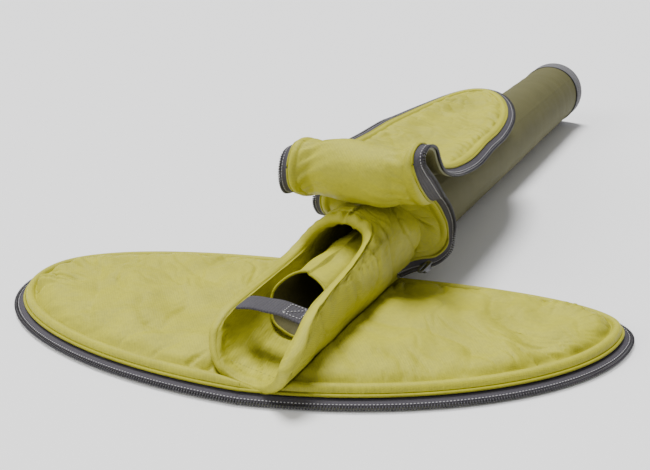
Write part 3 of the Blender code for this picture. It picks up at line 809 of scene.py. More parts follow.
def scatter(name: str, shape: tuple[Array, Array], origins: Array, axes: Array) -> bpy.types.Object:
    """Copies of one small shape at many places, as one mesh.

    Args:
        name: Piece name.
        shape: Vertices and quads of the shape.
        origins: Places, shape (n, 3).
        axes: Each copy's three axes as rows, shape (n, 3, 3).

    Returns:
        The new object.
    """
    vertices, faces = shape
    points = np.einsum("vk,nkj->nvj", vertices, axes) + origins[:, None]
    numbers = faces[None] + (np.arange(len(origins)) * len(vertices))[:, None, None]
    uv = points.reshape(-1, 3)[:, :2]
    return weld(make_object(name, points.reshape(-1, 3), numbers.reshape(-1, 4), uv), 1e-6)


def zip_teeth(name: str, outer: Array, inner: Array, pitch: float = 1.9 * MM) -> bpy.types.Object:
    """A row of coil teeth between two lines, each a rounded bar with a fatter outer head.

    Args:
        name: Piece name.
        outer: The teeth's tips, shape (n, 3).
        inner: Where they leave the tape, shape (n, 3).
        pitch: Distance between teeth.

    Returns:
        The new object.
    """
    run = lengths(outer)
    places = np.arange(pitch / 2, run[-1], pitch)
    tip = np.stack([np.interp(places, run, outer[:, i]) for i in range(3)], 1)
    root = np.stack([np.interp(places, run, inner[:, i]) for i in range(3)], 1)
    across = tip - root
    size = np.linalg.norm(across, axis=1)[:, None]
    across /= size
    along = np.gradient(tip, axis=0)
    along -= across * np.sum(along * across, 1)[:, None]
    along /= np.linalg.norm(along, axis=1)[:, None]
    axes = np.stack([across, along, np.cross(across, along)], 1)
    shape, faces = pebble(1.45 * MM, 0.58 * MM, 1.1 * MM, 0.55, 5, 8)
    head = 1 + 0.30 * smoothstep(0.0, 1.3 * MM, shape[:, 0])
    shape = shape * np.stack([np.ones_like(head), head, head], 1)
    return scatter(name, (shape, faces), (tip + root) / 2, axes)


def stitches(name: str, line: Array, pitch: float, length: float = 0.62, thick: float = 0.32 * MM,
             ) -> bpy.types.Object:
    """A row of thread stitches lying along a line.

    Args:
        name: Piece name.
        line: The seam, shape (n, 3).
        pitch: Distance between stitches.
        length: Stitch length as a part of the pitch.
        thick: Half the thread's thickness.

    Returns:
        The new object.
    """
    run = lengths(line)
    places = np.arange(pitch / 2, run[-1], pitch)
    middle = np.stack([np.interp(places, run, line[:, i]) for i in range(3)], 1)
    side, top = frames_along(middle)
    ahead = np.cross(top, side)
    axes = np.stack([ahead, side, top], 1)
    return scatter(name, pebble(pitch * length / 2, thick, thick, 0.8, 4, 6), middle, axes)


@dataclass(frozen=True)
class ZipStyle:
    """Where the parts of a zipped edge lie, as (inset, height) in millimetres, and their names."""

    tape: tuple = ((1.3, 0.2), (3.8, 0.9), (6.4, 1.5), (8.6, 2.1))
    tips: tuple = (-0.2, 0.0)
    roots: tuple = (1.7, 0.5)
    piping: tuple = (8.1, 2.9)
    piping_radius: float = 1.0 * MM
    binding: tuple = (2.4, -1.0)
    binding_radius: float = 1.0 * MM
    seam: tuple = (2.7, 1.45)
    pitch: float = 2.3 * MM
    names: tuple = ("zip_band", "coil", "piping", "binding", "thread")


@dataclass(frozen=True)
class ZipEdge:
    """The zip sewn along one edge of a piece."""

    label: str
    style: ZipStyle
    line: Callable[[float, float], Array]  # the edge's line at an inset and a height
    attach: Callable[[bpy.types.Object], object]  # called on each dressed piece: bakes its place or fixes it to its body

    def at(self, place: tuple) -> Array:
        """The edge's line at an (inset, height) in millimetres."""
        return self.line(place[0] * MM, place[1] * MM)

    def build(self, flip: bool, tape_nodes: list[str], teeth_nodes: list[str]) -> None:
        """Make the tape, teeth, piping, binding and stitches.

        Args:
            flip: Turn the tape's faces over.
            tape_nodes: CAD nodes that the tape stands for.
            teeth_nodes: CAD nodes that the teeth stand for.
        """
        style = self.style
        band, coil, piping, binding, thread = (f"{self.label}_{part}" for part in style.names)
        run = lengths(self.at((0.0, 0.0)))[:, None]
        uv = np.dstack(np.broadcast_arrays(run, np.array(style.tape)[:, 0] * MM))
        points = np.stack([self.at(place) for place in style.tape], 1)
        tape = dress(sheet_object(band, points, uv, flip, CLOTH), "tape")
        teeth = dress(zip_teeth(coil, self.at(style.tips), self.at(style.roots)), "coil")
        cord = tube_along(piping, self.at(style.piping), style.piping_radius)
        under = tube_along(binding, self.at(style.binding), style.binding_radius)
        seam = stitches(thread, self.at(style.seam), style.pitch)
        for piece in (tape, teeth, dress(cord, "lime_dark"), dress(under, "olive_edge"),
                      dress(seam, "thread")):
            self.attach(piece)
        for piece, nodes in ((tape, tape_nodes), (teeth, teeth_nodes)):
            if nodes:
                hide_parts(*nodes)


PANEL_ZIP = ZipStyle(tape=((1.3, 0.3), (3.4, 1.2), (5.8, 2.2), (8.4, 3.2)), roots=(1.8, 0.6),
                     piping=(7.6, 4.7),
                     piping_radius=1.15 * MM, binding=(2.6, -0.9), binding_radius=0.9 * MM, seam=(2.7, 1.55),
                     names=("zip_tape", "teeth", "piping", "edge", "zip_thread"))
COLLAR_ZIP = ZipStyle(tape=((1.3, 0.2), (3.8, 0.9), (6.4, 1.5), (8.8, 2.1)), piping=(8.3, 2.9),
                      names=("tape", "teeth", "piping", "binding", "thread"))
FLAP_ZIP = ZipStyle()


# ---- rigid tube -----------------------------------------------------------------------------
def turned(name: str, axis_z: float, stations: Array, radii: Array, sides: int = 128,
           ripple: Array | None = None) -> bpy.types.Object:
    """A surface turned round a line along the tube: a radius carried round at each station.

    Args:
        name: Piece name.
        axis_z: Height of the line.
        stations: Places along the tube of a closed profile, shape (n,).
        radii: Radius at each station.
        sides: Points round.
        ripple: Added to the radius, shape (n, sides).

    Returns:
        The new object.
    """
    angle = np.linspace(0, 2 * np.pi, sides, endpoint=False)
    radius = radii[:, None] + (ripple if ripple is not None else 0 * angle[None])
    x, z = radius * np.sin(angle), axis_z - radius * np.cos(angle)
    y = np.broadcast_to(stations[:, None], x.shape)
    run = lengths(np.column_stack([stations, radii]))[:, None]
    uv = np.dstack([angle * radii.max() + 0 * x, run + 0 * x])
    points = np.dstack([x, y, z])
    return weld(make_object(name, points.reshape(-1, 3), grid_faces(len(stations), sides, True, True),
                            uv.reshape(-1, 2)), 1e-6)


@dataclass
class RodTube:
    """The stiff cloth-covered tube with its grey end band and cap."""

    axis_z: float = 38 * MM
    radius: float = 36.4 * MM
    start: float = 117.7 * MM
    end: float = 664 * MM
    wall: float = 2.4 * MM
    band: float = 21.5 * MM
    seam_place: float = 85 * MM  # round the tube from the bottom

    def build(self) -> None:
        """Make the cover, the band, the cap, its cords and the seam."""
        self.build_cover()
        self.build_end()

    def build_cover(self) -> None:
        """The outer cloth: a thin sleeve with faint wrinkles across it and a seam low down."""
        along = np.linspace(self.start + 1 * MM, self.end - self.band, 260)
        inner = np.array([self.end - self.band, self.start + 1 * MM])
        stations = np.concatenate([along, inner])
        radii = np.concatenate([np.full(len(along), self.radius - 0.35 * MM),
                                np.full(2, self.radius - self.wall)])
        sides = 180
        angle = np.linspace(0, 2 * np.pi, sides, endpoint=False)
        wide = angle[None] * self.radius
        far = smoothstep(420 * MM, 640 * MM, stations)[:, None]
        wrinkle = Ripples(71, 30 * MM, 8).at(stations[:, None] + 0 * wide, 0.35 * wide)
        broad = Ripples(72, 120 * MM, 6).at(stations[:, None] + 0 * wide, wide)
        skin = (np.arange(len(stations)) < len(along))[:, None]
        ripple = skin * (wrinkle * (0.10 + 0.22 * far) + broad * 0.15) * MM
        seam = np.exp(-(((wide - self.seam_place) / (0.9 * MM)) ** 2)) * skin
        ripple = ripple + seam * 0.35 * MM
        fit(turned("tube_skin", self.axis_z, stations, radii, sides, ripple), "olive", "case", "tube_cover")

    def build_end(self) -> None:
        """The grey band, the dark cords on both sides of it and the flat cloth cap."""
        low, high = self.end - self.band, self.end + 1.0 * MM
        edge = np.array([low, low + 0.5 * MM, high - 0.6 * MM, high, high, low])
        radii = np.array([0.2, 0.75, 0.75, 0.3, -2.4, -2.4]) * MM + self.radius
        fit(turned("end_webbing", self.axis_z, edge, radii), "band", "case", "end_band")
        angle = np.linspace(0, 2 * np.pi, 120, endpoint=False)
        cords = (("end_cord_outer", self.end + 1.4 * MM, 0.1, 0.85, ["end_piping"]),
                 ("end_cord_inner", low - 0.3 * MM, 0.35, 0.6, []))
        for name, y, lift, thick, nodes in cords:
            radius = self.radius + lift * MM
            line = np.column_stack([radius * np.sin(angle), np.full_like(angle, y),
                                    self.axis_z - radius * np.cos(angle)])
            fit(tube_along(name, line, thick * MM, closed=True), "trim", "case", *nodes)
        reach = self.radius - 0.9 * MM
        radii = np.array([0.0, 0.4, 0.8, 0.96, 1.0, 1.0, 0.9, 0.0]) * reach
        stations = self.end + np.array([3.2, 3.0, 2.6, 2.1, 1.2, 0.2, 0.05, 0.05]) * MM
        angle = np.linspace(0, 2 * np.pi, 96, endpoint=False)
        x, z = radii[:, None] * np.sin(angle), self.axis_z - radii[:, None] * np.cos(angle)
        pad = Ripples(75, 24 * MM).at(x, z) * 0.18 * MM * (stations > self.end + 2 * MM)[:, None]
        points = np.dstack([x, stations[:, None] + pad, z])
        faces = grid_faces(len(radii), 96, wrap_columns=True)[:, ::-1]
        cap = weld(make_object("end_cap_cloth", points.reshape(-1, 3), faces,
                               np.dstack([x, z]).reshape(-1, 2)))
        fit(cap, "olive", "case", "end_cap")


# ---- hood over the grip ---------------------------------------------------------------------
@dataclass
class Hood:
    """The padded sleeve over the rod's grip: outer skin, rounded rim and lining in one piece."""

    axis_z: float = 38 * MM
    outer: float = 36.4 * MM
    inner: float = 28.2 * MM
    back: float = 117.4 * MM
    hem: float = 9 * MM  # the stitched groove's distance from the rim
    tuck_angle: float = -176.0
    lining_range: tuple = (26.4 * MM, 29.2 * MM)
    proud: float = 1.4 * MM  # the outer skin rises this far at most
    lowest: float = 1.9 * MM
    # the rim's place along the tube in millimetres, by angle from the bottom in degrees
    right: tuple = ((0, -84), (40, -88), (77, -92), (90, -83), (99, -74), (113, -60), (121, -40),
                    (125, -3), (132, 24), (138, 42), (150, 52), (180, 55))
    left: tuple = ((0, -84), (40, -84), (60, -80), (83, -72), (97, -55), (101, 0), (105, 28),
                   (116, 42), (136, 50), (160, 54), (180, 55))

    def rim(self, angle: Array) -> Array:
        """Place of the mouth's rim along the tube, by angle from the bottom (right is positive)."""
        degrees = np.degrees(np.abs(angle))
        made = []
        for side in (self.right, self.left):
            a, y = np.array(side, float).T
            made.append(np.interp(degrees, a, y) * MM)
        rim = np.where(angle >= 0, made[0], made[1])
        kernel = np.hanning(13)
        padded = np.concatenate([rim[-6:], rim, rim[:6]])
        return np.convolve(padded, kernel / kernel.sum(), "valid")

    def relief(self, y: Array, wide: Array, depth: Array, angle: Array, outside: Array) -> Array:
        """Height of the padding over the plain sleeve: swells, creases, the hem's groove and its roll.

        Args:
            y: Places along the tube, shape (n, sides).
            wide: Places round the sleeve, in metres.
            depth: Distance from the rim.
            angle: Angle of each side point from the bottom, shape (sides,).
            outside: Which rows are on the outer skin, shape (n, 1).

        Returns:
            Heights, shape (n, sides).
        """
        groove = np.exp(-(((depth - self.hem) / (1.3 * MM)) ** 2)) * 1.5 * MM
        upper = smoothstep(95, 125, np.degrees(np.abs(angle)))[None]
        crumple = 1 + 0.7 * upper * Ripples(36, 9 * MM, 7).at(wide, y * 0.3)
        roll = np.exp(-(((depth - 3.5 * MM) / (3.5 * MM)) ** 2)) * 0.9 * MM * crumple
        tuck = np.abs(np.degrees(angle)[None] - self.tuck_angle) / 3.5
        roll = roll - np.exp(-(tuck**2) - (depth / (9 * MM)) ** 2) * 2.6 * MM
        swell = Ripples(31, 62 * MM).at(y, wide) * 1.2 * MM
        crease = (Ripples(32, 55 * MM, 7).ridges(y + 0.3 * wide, wide * 0.8, 6.0) * -1.6
                  + Ripples(35, 26 * MM, 9).ridges(y, wide, 5.0) * -0.7) * MM
        pucker = Ripples(33, 13 * MM, 6).at(wide, y * 0.4) * 0.55 * MM
        pucker = pucker * np.exp(-((depth - self.hem) / (9 * MM)) ** 2)
        far = smoothstep(0.0, 6 * MM, np.abs(depth))
        back = smoothstep(0, 14 * MM, self.back - y)
        low = 1 - smoothstep(50, 80, np.degrees(np.abs(angle)))[None]
        return ((swell + crease) * far * back + pucker * far - groove + roll) * (1 - 0.8 * low * outside)

    def build(self) -> None:
        """Make the padded sleeve with its tuck at the top, and the stitches of its hem.

        The section runs along the outer skin to the rim, round the rim in a half circle and back
        along the lining; each point is then turned to its angle round the tube's line.
        """
        sides, out_steps, rim_steps, in_steps = 300, 90, 14, 60
        angle = np.linspace(-np.pi, np.pi, sides, endpoint=False)
        rim = self.rim(angle)
        middle, half = (self.outer + self.inner) / 2, (self.outer - self.inner) / 2
        bend = np.linspace(0, np.pi, rim_steps)[1:-1]
        y_out = self.back + (rim + half - self.back) * np.linspace(0, 1, out_steps)[:, None]
        y_rim = rim + half - np.sin(bend)[:, None] * half * 1.15
        r_rim = middle + np.cos(bend)[:, None] * half * np.ones_like(rim)
        y_in = rim + half + (self.back - rim - half) * np.linspace(0, 1, in_steps)[:, None]
        y = np.concatenate([y_out, y_rim, y_in])
        r = np.concatenate([np.full_like(y_out, self.outer), r_rim, np.full_like(y_in, self.inner)])
        wide = angle[None] * self.outer + 0 * y
        outside = (np.arange(len(y)) < out_steps + rim_steps // 2)[:, None]
        r = r + np.where(outside, 1.0, -1.0) * self.relief(y, wide, y - rim[None], angle, outside)
        r = np.where(~outside, np.clip(r, *self.lining_range), np.minimum(r, self.outer + self.proud))
        x, z = r * np.sin(angle), np.maximum(self.axis_z - r * np.cos(angle), self.lowest)
        points = np.dstack([x, y, z])
        uv = np.dstack([wide, lengths(np.column_stack([y[:, 0], r[:, 0]]))[:, None] + 0 * y])
        faces = grid_faces(len(y), sides, wrap_rows=True, wrap_columns=True)[:, ::-1]
        hood = weld(make_object("hood_sleeve", points.reshape(-1, 3), faces, uv.reshape(-1, 2)), 1e-6)
        fit(hood, "lime", "case", "hood_cover", "hood_foam", "hood_lining", "hood_binding")
        seam = self.seam_line(points[:out_steps], rim, self.hem)
        fit(stitches("hood_stitching", seam, 3.4 * MM, 0.7, 0.28 * MM), "lime_thread", "case")

    def seam_line(self, outside: Array, rim: Array, inset: float) -> Array:
        """The line on the outer skin at one distance from the rim.

        Args:
            outside: Grid of the outer skin from the back to the rim, shape (n, sides, 3).
            rim: Place of the rim at each side point.
            inset: Distance from the rim.

        Returns:
            Points round the mouth above the floor, shape (m, 3).
        """
        place = np.abs(outside[..., 1] - (rim + inset)[None]).argmin(0)
        line = outside[place, np.arange(outside.shape[1])]
        away = line - np.array([0.0, 0.0, self.axis_z]) * np.array([1, 0, 1])
        away[:, 1] = 0
        away /= np.linalg.norm(away, axis=1)[:, None]
        line = line + away * 0.2 * MM
        return line[np.abs(np.arange(len(line)) - len(line) / 2) > len(line) * 0.14]


@dataclass
class RodSock:
    """The loose cloth sleeve inside the hood and tube, with its mouth and hem."""

    axis_z: float = 32.5 * MM
    radius: float = 20 * MM
    end: float = 600 * MM

    def build(self) -> None:
        """Make the sleeve, its dark inner face and the hem round its mouth."""
        sides = 120
        angle = np.linspace(-np.pi, np.pi, sides, endpoint=False)
        mouth = (-14 - 10 * np.cos(angle) + 2.5 * np.sin(2 * angle + 0.5)) * MM
        along = np.linspace(0, 1, 60)[:, None] ** 1.6
        y = mouth + (self.end - mouth) * along
        wide = angle[None] * self.radius + 0 * y
        loose = 1 - smoothstep(60 * MM, 130 * MM, y)
        folds = (Ripples(81, 26 * MM, 7).at(wide, y * 0.4) * 0.9
                 + Ripples(82, 40 * MM).at(wide, y) * 0.8) * MM
        r = self.radius * (1 - 0.04 * np.cos(2 * angle)) - 0.6 * MM + folds * loose
        flare = np.exp(-(y - mouth) / (8 * MM)) * 1.2 * MM
        r = np.minimum(r + flare, 23.5 * MM)
        points = np.dstack([r * np.sin(angle), y, self.axis_z - r * np.cos(angle)])
        uv = np.dstack([wide, y])
        closed = np.arange(sides + 1) % sides
        skin = sheet_object("sock_skin", points[:, closed], uv[:, closed], False, CLOTH)
        fit(skin, "lime", "case", "rod_sock")
        shrunk = (r - 0.9 * MM) / r
        inner = np.dstack([points[..., 0] * shrunk, y, self.axis_z + (points[..., 2] - self.axis_z) * shrunk])
        lining = sheet_object("sock_inner_face", inner[:, closed], uv[:, closed], True, -0.3 * MM)
        fit(lining, "brown", "case", "sock_lining")
        hem = tube_along("sock_rim", points[0] + np.array([0, -0.2 * MM, 0]), 1.1 * MM, closed=True)
        fit(hem, "lime_dark", "case", "sock_hem")


@dataclass
class GripStrap:
    """The ribbed strap that crosses the hood's mouth over the grip."""

    y: float = -47 * MM
    half_width: float = 9 * MM
    half_span: float = 25.2 * MM
    end_z: float = 44.1 * MM
    arch: float = 3.0 * MM
    # the sewn rectangle and its diagonal, as parts of the half span and the half width
    seam: tuple = ((0.35, -0.7), (0.85, -0.7), (0.85, 0.7), (0.35, 0.7), (0.35, -0.7), (0.85, 0.7))

    def build(self) -> None:
        """Make the arched strap and its sewn rectangle; its height is a parabola across the span."""
        u, v = np.meshgrid(np.linspace(-1, 1, 60), np.linspace(-1, 1, 16), indexing="ij")
        z = self.end_z + self.arch * (1 - u**2) + 0.25 * MM * np.sin(7 * u + v)
        z = z - 0.35 * MM * smoothstep(0.8, 1.0, np.abs(v))
        points = np.dstack([u * self.half_span, self.y + v * self.half_width, z])
        uv = np.dstack([v * self.half_width, u * self.half_span])
        fit(sheet_object("strap_webbing", points, uv, False, 1.5 * MM), "webbing", "strap", "grip_strap")
        path = resample(np.array(self.seam) * np.array([self.half_span, self.half_width]), 0.5 * MM)
        height = self.end_z + 0.35 * MM + self.arch * (1 - (path[:, 0] / self.half_span) ** 2)
        line = np.column_stack([path[:, 0], path[:, 1] + self.y, height])
        fit(stitches("strap_stitching", line, 2.4 * MM), "thread", "strap")


# ---- collar at the neck ---------------------------------------------------------------------
@dataclass
class Collar:
    """The gusset that joins the panel, the hood and the flap on one side, with its zip edge.

    Its guides run up from the panel, in millimetres on the right side: the zip's line for each
    side, and the root where the collar meets the hood.
    """

    name: str
    right_edge: tuple = ((37, 74, 25), (40, 88, 23.5), (44, 104.5, 20.5), (49, 122.5, 19), (54, 135.5, 25),
                         (54.8, 139.5, 36), (56, 136, 51), (56, 125, 67), (55, 112, 80), (55.4, 105, 86))
    left_edge: tuple = ((37, 74, 25), (40, 88, 23.5), (44, 104.5, 20.5), (48.5, 122, 19), (54.5, 134, 24.5),
                        (57, 137, 34), (57.5, 116, 45.5), (57, 108.5, 60), (52, 112, 80), (54, 105, 82))
    root: tuple = ((32, 74, 25), (32.5, 90, 26), (33.5, 104, 30), (34.5, 111, 38), (32.5, 114, 49),
                   (28, 113, 58), (21, 111, 65), (14, 109, 70), (24, 106, 77), (44, 100, 84))
    # the padded welt inside the zip, as (inset, height) in millimetres
    welt: tuple = ((8.8, 0.8), (9.1, 1.9), (9.6, 2.9), (10.6, 3.6), (12.0, 4.0), (13.6, 3.8), (15.0, 3.2),
                   (15.8, 2.8))
    count: int = 150  # points along the collar

    def setup(self) -> None:
        """Work out the zip's line, the way in from it to the root and the way the collar faces."""
        side = 1.0 if self.name == "right" else -1.0
        scale = np.array([side, 1.0, 1.0]) * MM
        edge = self.right_edge if self.name == "right" else self.left_edge
        self.at = np.linspace(0, len(self.root) - 1, self.count)
        self.outer = smooth_curve(np.array(edge, float), self.at) * scale
        root = smooth_curve(np.array(self.root, float), self.at) * scale
        self.reach = np.linalg.norm(root - self.outer, axis=1)[:, None]
        self.inward = (root - self.outer) / self.reach
        normal = np.cross(np.gradient(self.outer, axis=0), self.inward)
        normal /= np.linalg.norm(normal, axis=1)[:, None]
        self.facing = normal * (-1.0 if normal[self.count // 2, 1] > 0 else 1.0)

    def build(self) -> None:
        """Make the collar's padded lining, its shell and its zip."""
        self.setup()
        right = self.name == "right"
        insets, heights = profile(self.welt)
        steps = np.linspace(0, 1, 16)[None, 1:]
        depth = np.concatenate([np.broadcast_to(insets, (self.count, len(insets))),
                                insets[-1] + (self.reach - insets[-1]) * steps], 1)
        depth = np.maximum.accumulate(np.minimum(depth, self.reach), 1)
        run = lengths(self.outer)[:, None] + 0 * depth
        beyond = np.maximum(depth - insets[-1], 0)
        share = np.clip(beyond / np.maximum(self.reach - insets[-1], 1 * MM), 0, 1)
        thin = 0.35 + 0.65 * smoothstep(0.40, 0.62, self.at / self.at[-1])[:, None]
        side = 1 if right else -1  # each collar has its own folds
        folds = Ripples(90 + side, 18 * MM, 7).at(run, depth * 0.5) * 1.5 * MM
        folds = folds - Ripples(95 + side, 26 * MM, 7).ridges(run, depth * 0.6, 4.0) * 1.4 * MM
        base = np.interp(depth, insets, heights) * (1 - 0.6 * share) * thin
        height = base + (2.2 * MM + folds) * np.sin(np.pi * share) * thin
        flat = np.dstack([run, depth])
        lining = sheet_object(f"{self.name}_collar", self.place(depth, height), flat, right, 0.8 * MM)
        fit(lining, "lime", "case", f"neck_{self.name}_gusset")
        behind = np.minimum(-1.2 * MM - 1.0 * MM * share, height - 1.2 * MM)
        shell = sheet_object(f"{self.name}_collar_back", self.place(depth, behind), flat, not right, CLOTH)
        fit(shell, "olive", "case")
        edge = ZipEdge(f"{self.name}_collar", COLLAR_ZIP, self.line, lambda piece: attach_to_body(piece, "case"))
        edge.build(right, [], [f"neck_{self.name}_zip"])

    def place(self, depth: Array, height: Array) -> Array:
        """Points at distances in from the zip's line and heights towards the front.

        Args:
            depth: Distance in from the zip's line, shape (n, k).
            height: Height over the flat collar, shape (n, k).

        Returns:
            Points, shape (n, k, 3).
        """
        return (self.outer[:, None] + self.inward[:, None] * depth[..., None]
                + self.facing[:, None] * height[..., None])

    def line(self, inset: float, height: float) -> Array:
        """A line along the collar at one inset and height."""
        full = np.full((len(self.outer), 1), 1.0)
        return self.place(full * inset, full * height)[:, 0]


# ---- flap -----------------------------------------------------------------------------------
@dataclass
class Flap:
    """The long flap: up from the neck, rolled back on itself and laid along the tube.

    Three guides in millimetres run from the neck to the tip: (y, z) along the middle, and
    (x, y, z) along the right and the left edge.
    """

    centre: tuple = ((92, 79), (76, 77), (62, 86), (56, 100), (58, 113), (66, 121), (77, 123), (89, 118),
                     (100, 110), (112, 102), (130, 97), (155, 92), (190, 90), (230, 91), (260, 90.5),
                     (290, 90), (330, 90.5), (365, 93), (394, 96))
    right: tuple = ((55, 112, 80), (55.5, 100, 91), (56, 86, 103), (56.5, 72, 113), (57, 62, 121),
                    (57, 61, 128), (57, 70, 131), (57, 83, 126), (57, 92, 114), (57, 103, 103),
                    (57, 122, 94), (57, 150, 87), (57, 188, 83), (56, 230, 86), (56, 260, 86),
                    (56, 290, 87), (56, 330, 88), (56, 365, 91), (56, 394, 95))
    left: tuple = ((-52, 112, 80), (-55, 96, 77), (-56.5, 79, 77), (-57.5, 63, 80), (-57.5, 56, 90),
                   (-57.5, 56, 102), (-57.5, 62, 111), (-57.5, 76, 113), (-57.5, 95, 108), (-57, 115, 101),
                   (-56, 133, 97), (-56, 158, 94), (-56, 190, 93), (-55, 232, 94), (-55, 262, 92),
                   (-55, 292, 91), (-55, 330, 91), (-55, 365, 93), (-55, 394, 96))
    straight: float = 13.0  # guide station where the round tip starts
    half_width: float = 57 * MM
    side_power: float = 3.2
    tip_shift: float = -8 * MM
    sink: float = 8 * MM  # the padding's middle is drawn in by this
    crown: float = 6.2 * MM
    crown_reach: float = 7 * MM
    # the padded welt inside the zip and the shell's edge, as (inset, height) in millimetres
    welt: tuple = ((8.6, 0.8), (8.7, 1.9), (9.0, 2.9), (9.8, 3.6), (11.0, 4.0), (12.4, 3.8), (13.8, 3.2),
                   (14.4, 2.5))
    shell: tuple = ((2.6, 0.2), (2.4, -0.8), (3.2, -1.6), (6.0, -2.2), (9.0, -2.4))
    # guide stations where one sewn part hands over to the next
    cuts: dict = field(default_factory=lambda: {
        "fold": (0.0, 6.0), "middle": (6.0, 14.0), "tip": (14.0, 18.0)})
    steps: int = 520
    row_spacing: float = 1.7 * MM

    def setup(self) -> None:
        """Work out the guide curves at even steps and the length along them."""
        self.at = np.linspace(0, len(self.centre) - 1, self.steps)
        c = smooth_curve(np.array(self.centre, float), self.at) * MM
        self.mid = np.column_stack([np.zeros(len(c)), c])
        self.edge_right = smooth_curve(np.array(self.right, float), self.at) * MM
        self.edge_left = smooth_curve(np.array(self.left, float), self.at) * MM
        self.run = lengths(self.mid)

    def width(self, run: Array) -> Array:
        """Share of the full half width left at a length along the flap; the tip is half an oval."""
        start = np.interp(self.straight, self.at, self.run)
        t = np.clip((run - start) / (self.run[-1] - start), 0, 1)
        return np.sqrt(np.maximum(1 - t**2.3, 0.0))

    def place(self, across: Array, run: Array, lift: Array) -> Array:
        """Points of the flap from its flat pattern.

        The middle line is followed along; away from it a point moves towards the side guide by
        the share of the half width raised to a power, then out along the surface's normal.

        Args:
            across: Distance from the middle line in the flat pattern, right positive.
            run: Length along the middle line.
            lift: Height over the surface, towards the lining's side.

        Returns:
            Points with the inputs' shape and a last axis of 3.
        """
        def at(curve: Array, where: Array) -> Array:
            return np.stack([np.interp(where, self.run, curve[:, i]) for i in range(3)], -1)

        def surface(a: Array, s: Array) -> Array:
            share = np.clip(np.abs(a) / self.half_width, 0, 1.15)
            mid = at(self.mid, s)
            guide = np.where((a >= 0)[..., None], at(self.edge_right, s), at(self.edge_left, s))
            curved = share[..., None] ** self.side_power
            out = mid + (guide - mid) * curved * np.array([0, 1, 1])
            out[..., 0] = share * guide[..., 0]
            return out

        step = 0.8 * MM
        du = surface(across + step, run) - surface(across - step, run)
        low, high = np.maximum(run - step, 0), np.minimum(run + step, self.run[-1])
        dv = surface(across, high) - surface(across, low)
        normal = np.cross(dv, du)
        normal /= np.linalg.norm(normal, axis=-1)[..., None] + 1e-12
        return surface(across, run) - normal * lift[..., None]

    def laid(self, run: Array) -> Array:
        """0 on the roll and 1 on the part that lies along the tube."""
        low, high = np.interp([10.0, 12.5], self.at, self.run)
        return smoothstep(low, high, run)

    def hollow(self, depth: Array, run: Array) -> Array:
        """Share of the sink at a distance in from the edge; it comes sooner on the roll."""
        return smoothstep(0.0, 1.0, (depth - 11 * MM) / (14 * MM + 18 * MM * self.laid(run)))

    def build(self) -> None:
        """Make every layer of the flap, each cut where one sewn body hands over to the next."""
        self.setup()
        for name, (first, last) in self.cuts.items():
            low, high = np.interp([first, last], self.at, self.run)
            self.build_piece(name, low, high)

    def join(self, obj: bpy.types.Object, piece: str) -> bpy.types.Object:
        """Bake a piece's place into its points."""
        body_a, body_b, start, end = {
            "fold": ("case", "flap_fold", (96, 78), (72, 92)),
            "middle": ("flap_fold", "flap_middle", (70, 130), (96, 116)),
            "tip": ("flap_middle", "flap_tip", (247, 88), (275, 88)),
        }[piece]
        start, end = ((0, y * MM, z * MM) for y, z in (start, end))
        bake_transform(obj)
        return obj

    def grid(self, low: float, high: float, shares: Array, insets: Array, heights: Array,
             ) -> tuple[Array, Array, Array, Array]:
        """Flat places of a layer from edge to edge.

        Edge columns keep their distance from the edge, and the rest share out the width inside
        the last of them. Round the tip every column is drawn back by its own distance.

        Args:
            low: Where the piece starts along the flap.
            high: Where it ends.
            shares: Places across the inside, from -1 to 1.
            insets: Distances of the edge columns from the flap's edge, rising.
            heights: Height of each edge column over the surface.

        Returns:
            Across, along, lift and depth arrays of one shape.
        """
        start, end = np.interp(self.straight, self.at, self.run), self.run[-1]
        tip = high > end - 1e-6
        rows = max(int((high - low) / self.row_spacing), 8)
        even = np.sin(np.linspace(0, np.pi / 2, rows + 40)) if tip else np.linspace(0, 1, rows)
        run = low + (high - low) * even
        narrow = self.width(run)[:, None]
        away = np.clip(run - start, 0, None)[:, None]
        inner = np.ones(len(shares))
        inset = np.concatenate([insets, inner * insets[-1], insets[::-1]])
        lift = np.concatenate([heights, inner * heights[-1], heights[::-1]])
        share = np.concatenate([-np.ones(len(insets)), shares, np.ones(len(insets))])
        half = (self.half_width - inset) * narrow
        across = share * half + self.tip_shift * (away / (end - start)) ** 2
        along = run[:, None] - away * inset / (end - start)
        depth = inset + (1 - np.abs(share)) * half
        if tip:
            depth = np.minimum(depth, insets[-1] + np.clip(end - insets[-1] - along, 0, None))
        return across, along, np.broadcast_to(lift, across.shape), depth

    def folds(self, across: Array, run: Array, beyond: Array) -> Array:
        """Height added by folds: swells and creases inside, and puckers that start at the seam.

        Args:
            across: Distance from the middle line in the flat pattern.
            run: Length along the flap.
            beyond: Distance in from the welt.

        Returns:
            Heights, shaped as the inputs.
        """
        swell = (Ripples(61, 80 * MM).at(across, run) * 1.7 + Ripples(62, 38 * MM).at(across, run) * 1.1) * MM
        bent = across + 8 * MM * Ripples(66, 50 * MM).at(across, run)
        crease = (Ripples(63, 90 * MM, 7).ridges(bent * 0.8, run, 7.0) * -0.9
                  + Ripples(67, 32 * MM, 9).ridges(bent, run, 5.0) * -0.8) * MM
        lean = run + 0.4 * np.abs(across)
        pucker = (Ripples(64, 17 * MM, 7).at(lean, across * 0.3) * 1.5
                  - Ripples(65, 26 * MM, 6).ridges(lean, across * 0.4, 4.0) * 1.9) * MM
        calm = 0.35 + 0.65 * self.laid(run)
        near = np.exp(-beyond / (16 * MM)) * smoothstep(0, 3 * MM, beyond)
        return (swell + crease) * smoothstep(0, 12 * MM, beyond) * calm + pucker * near

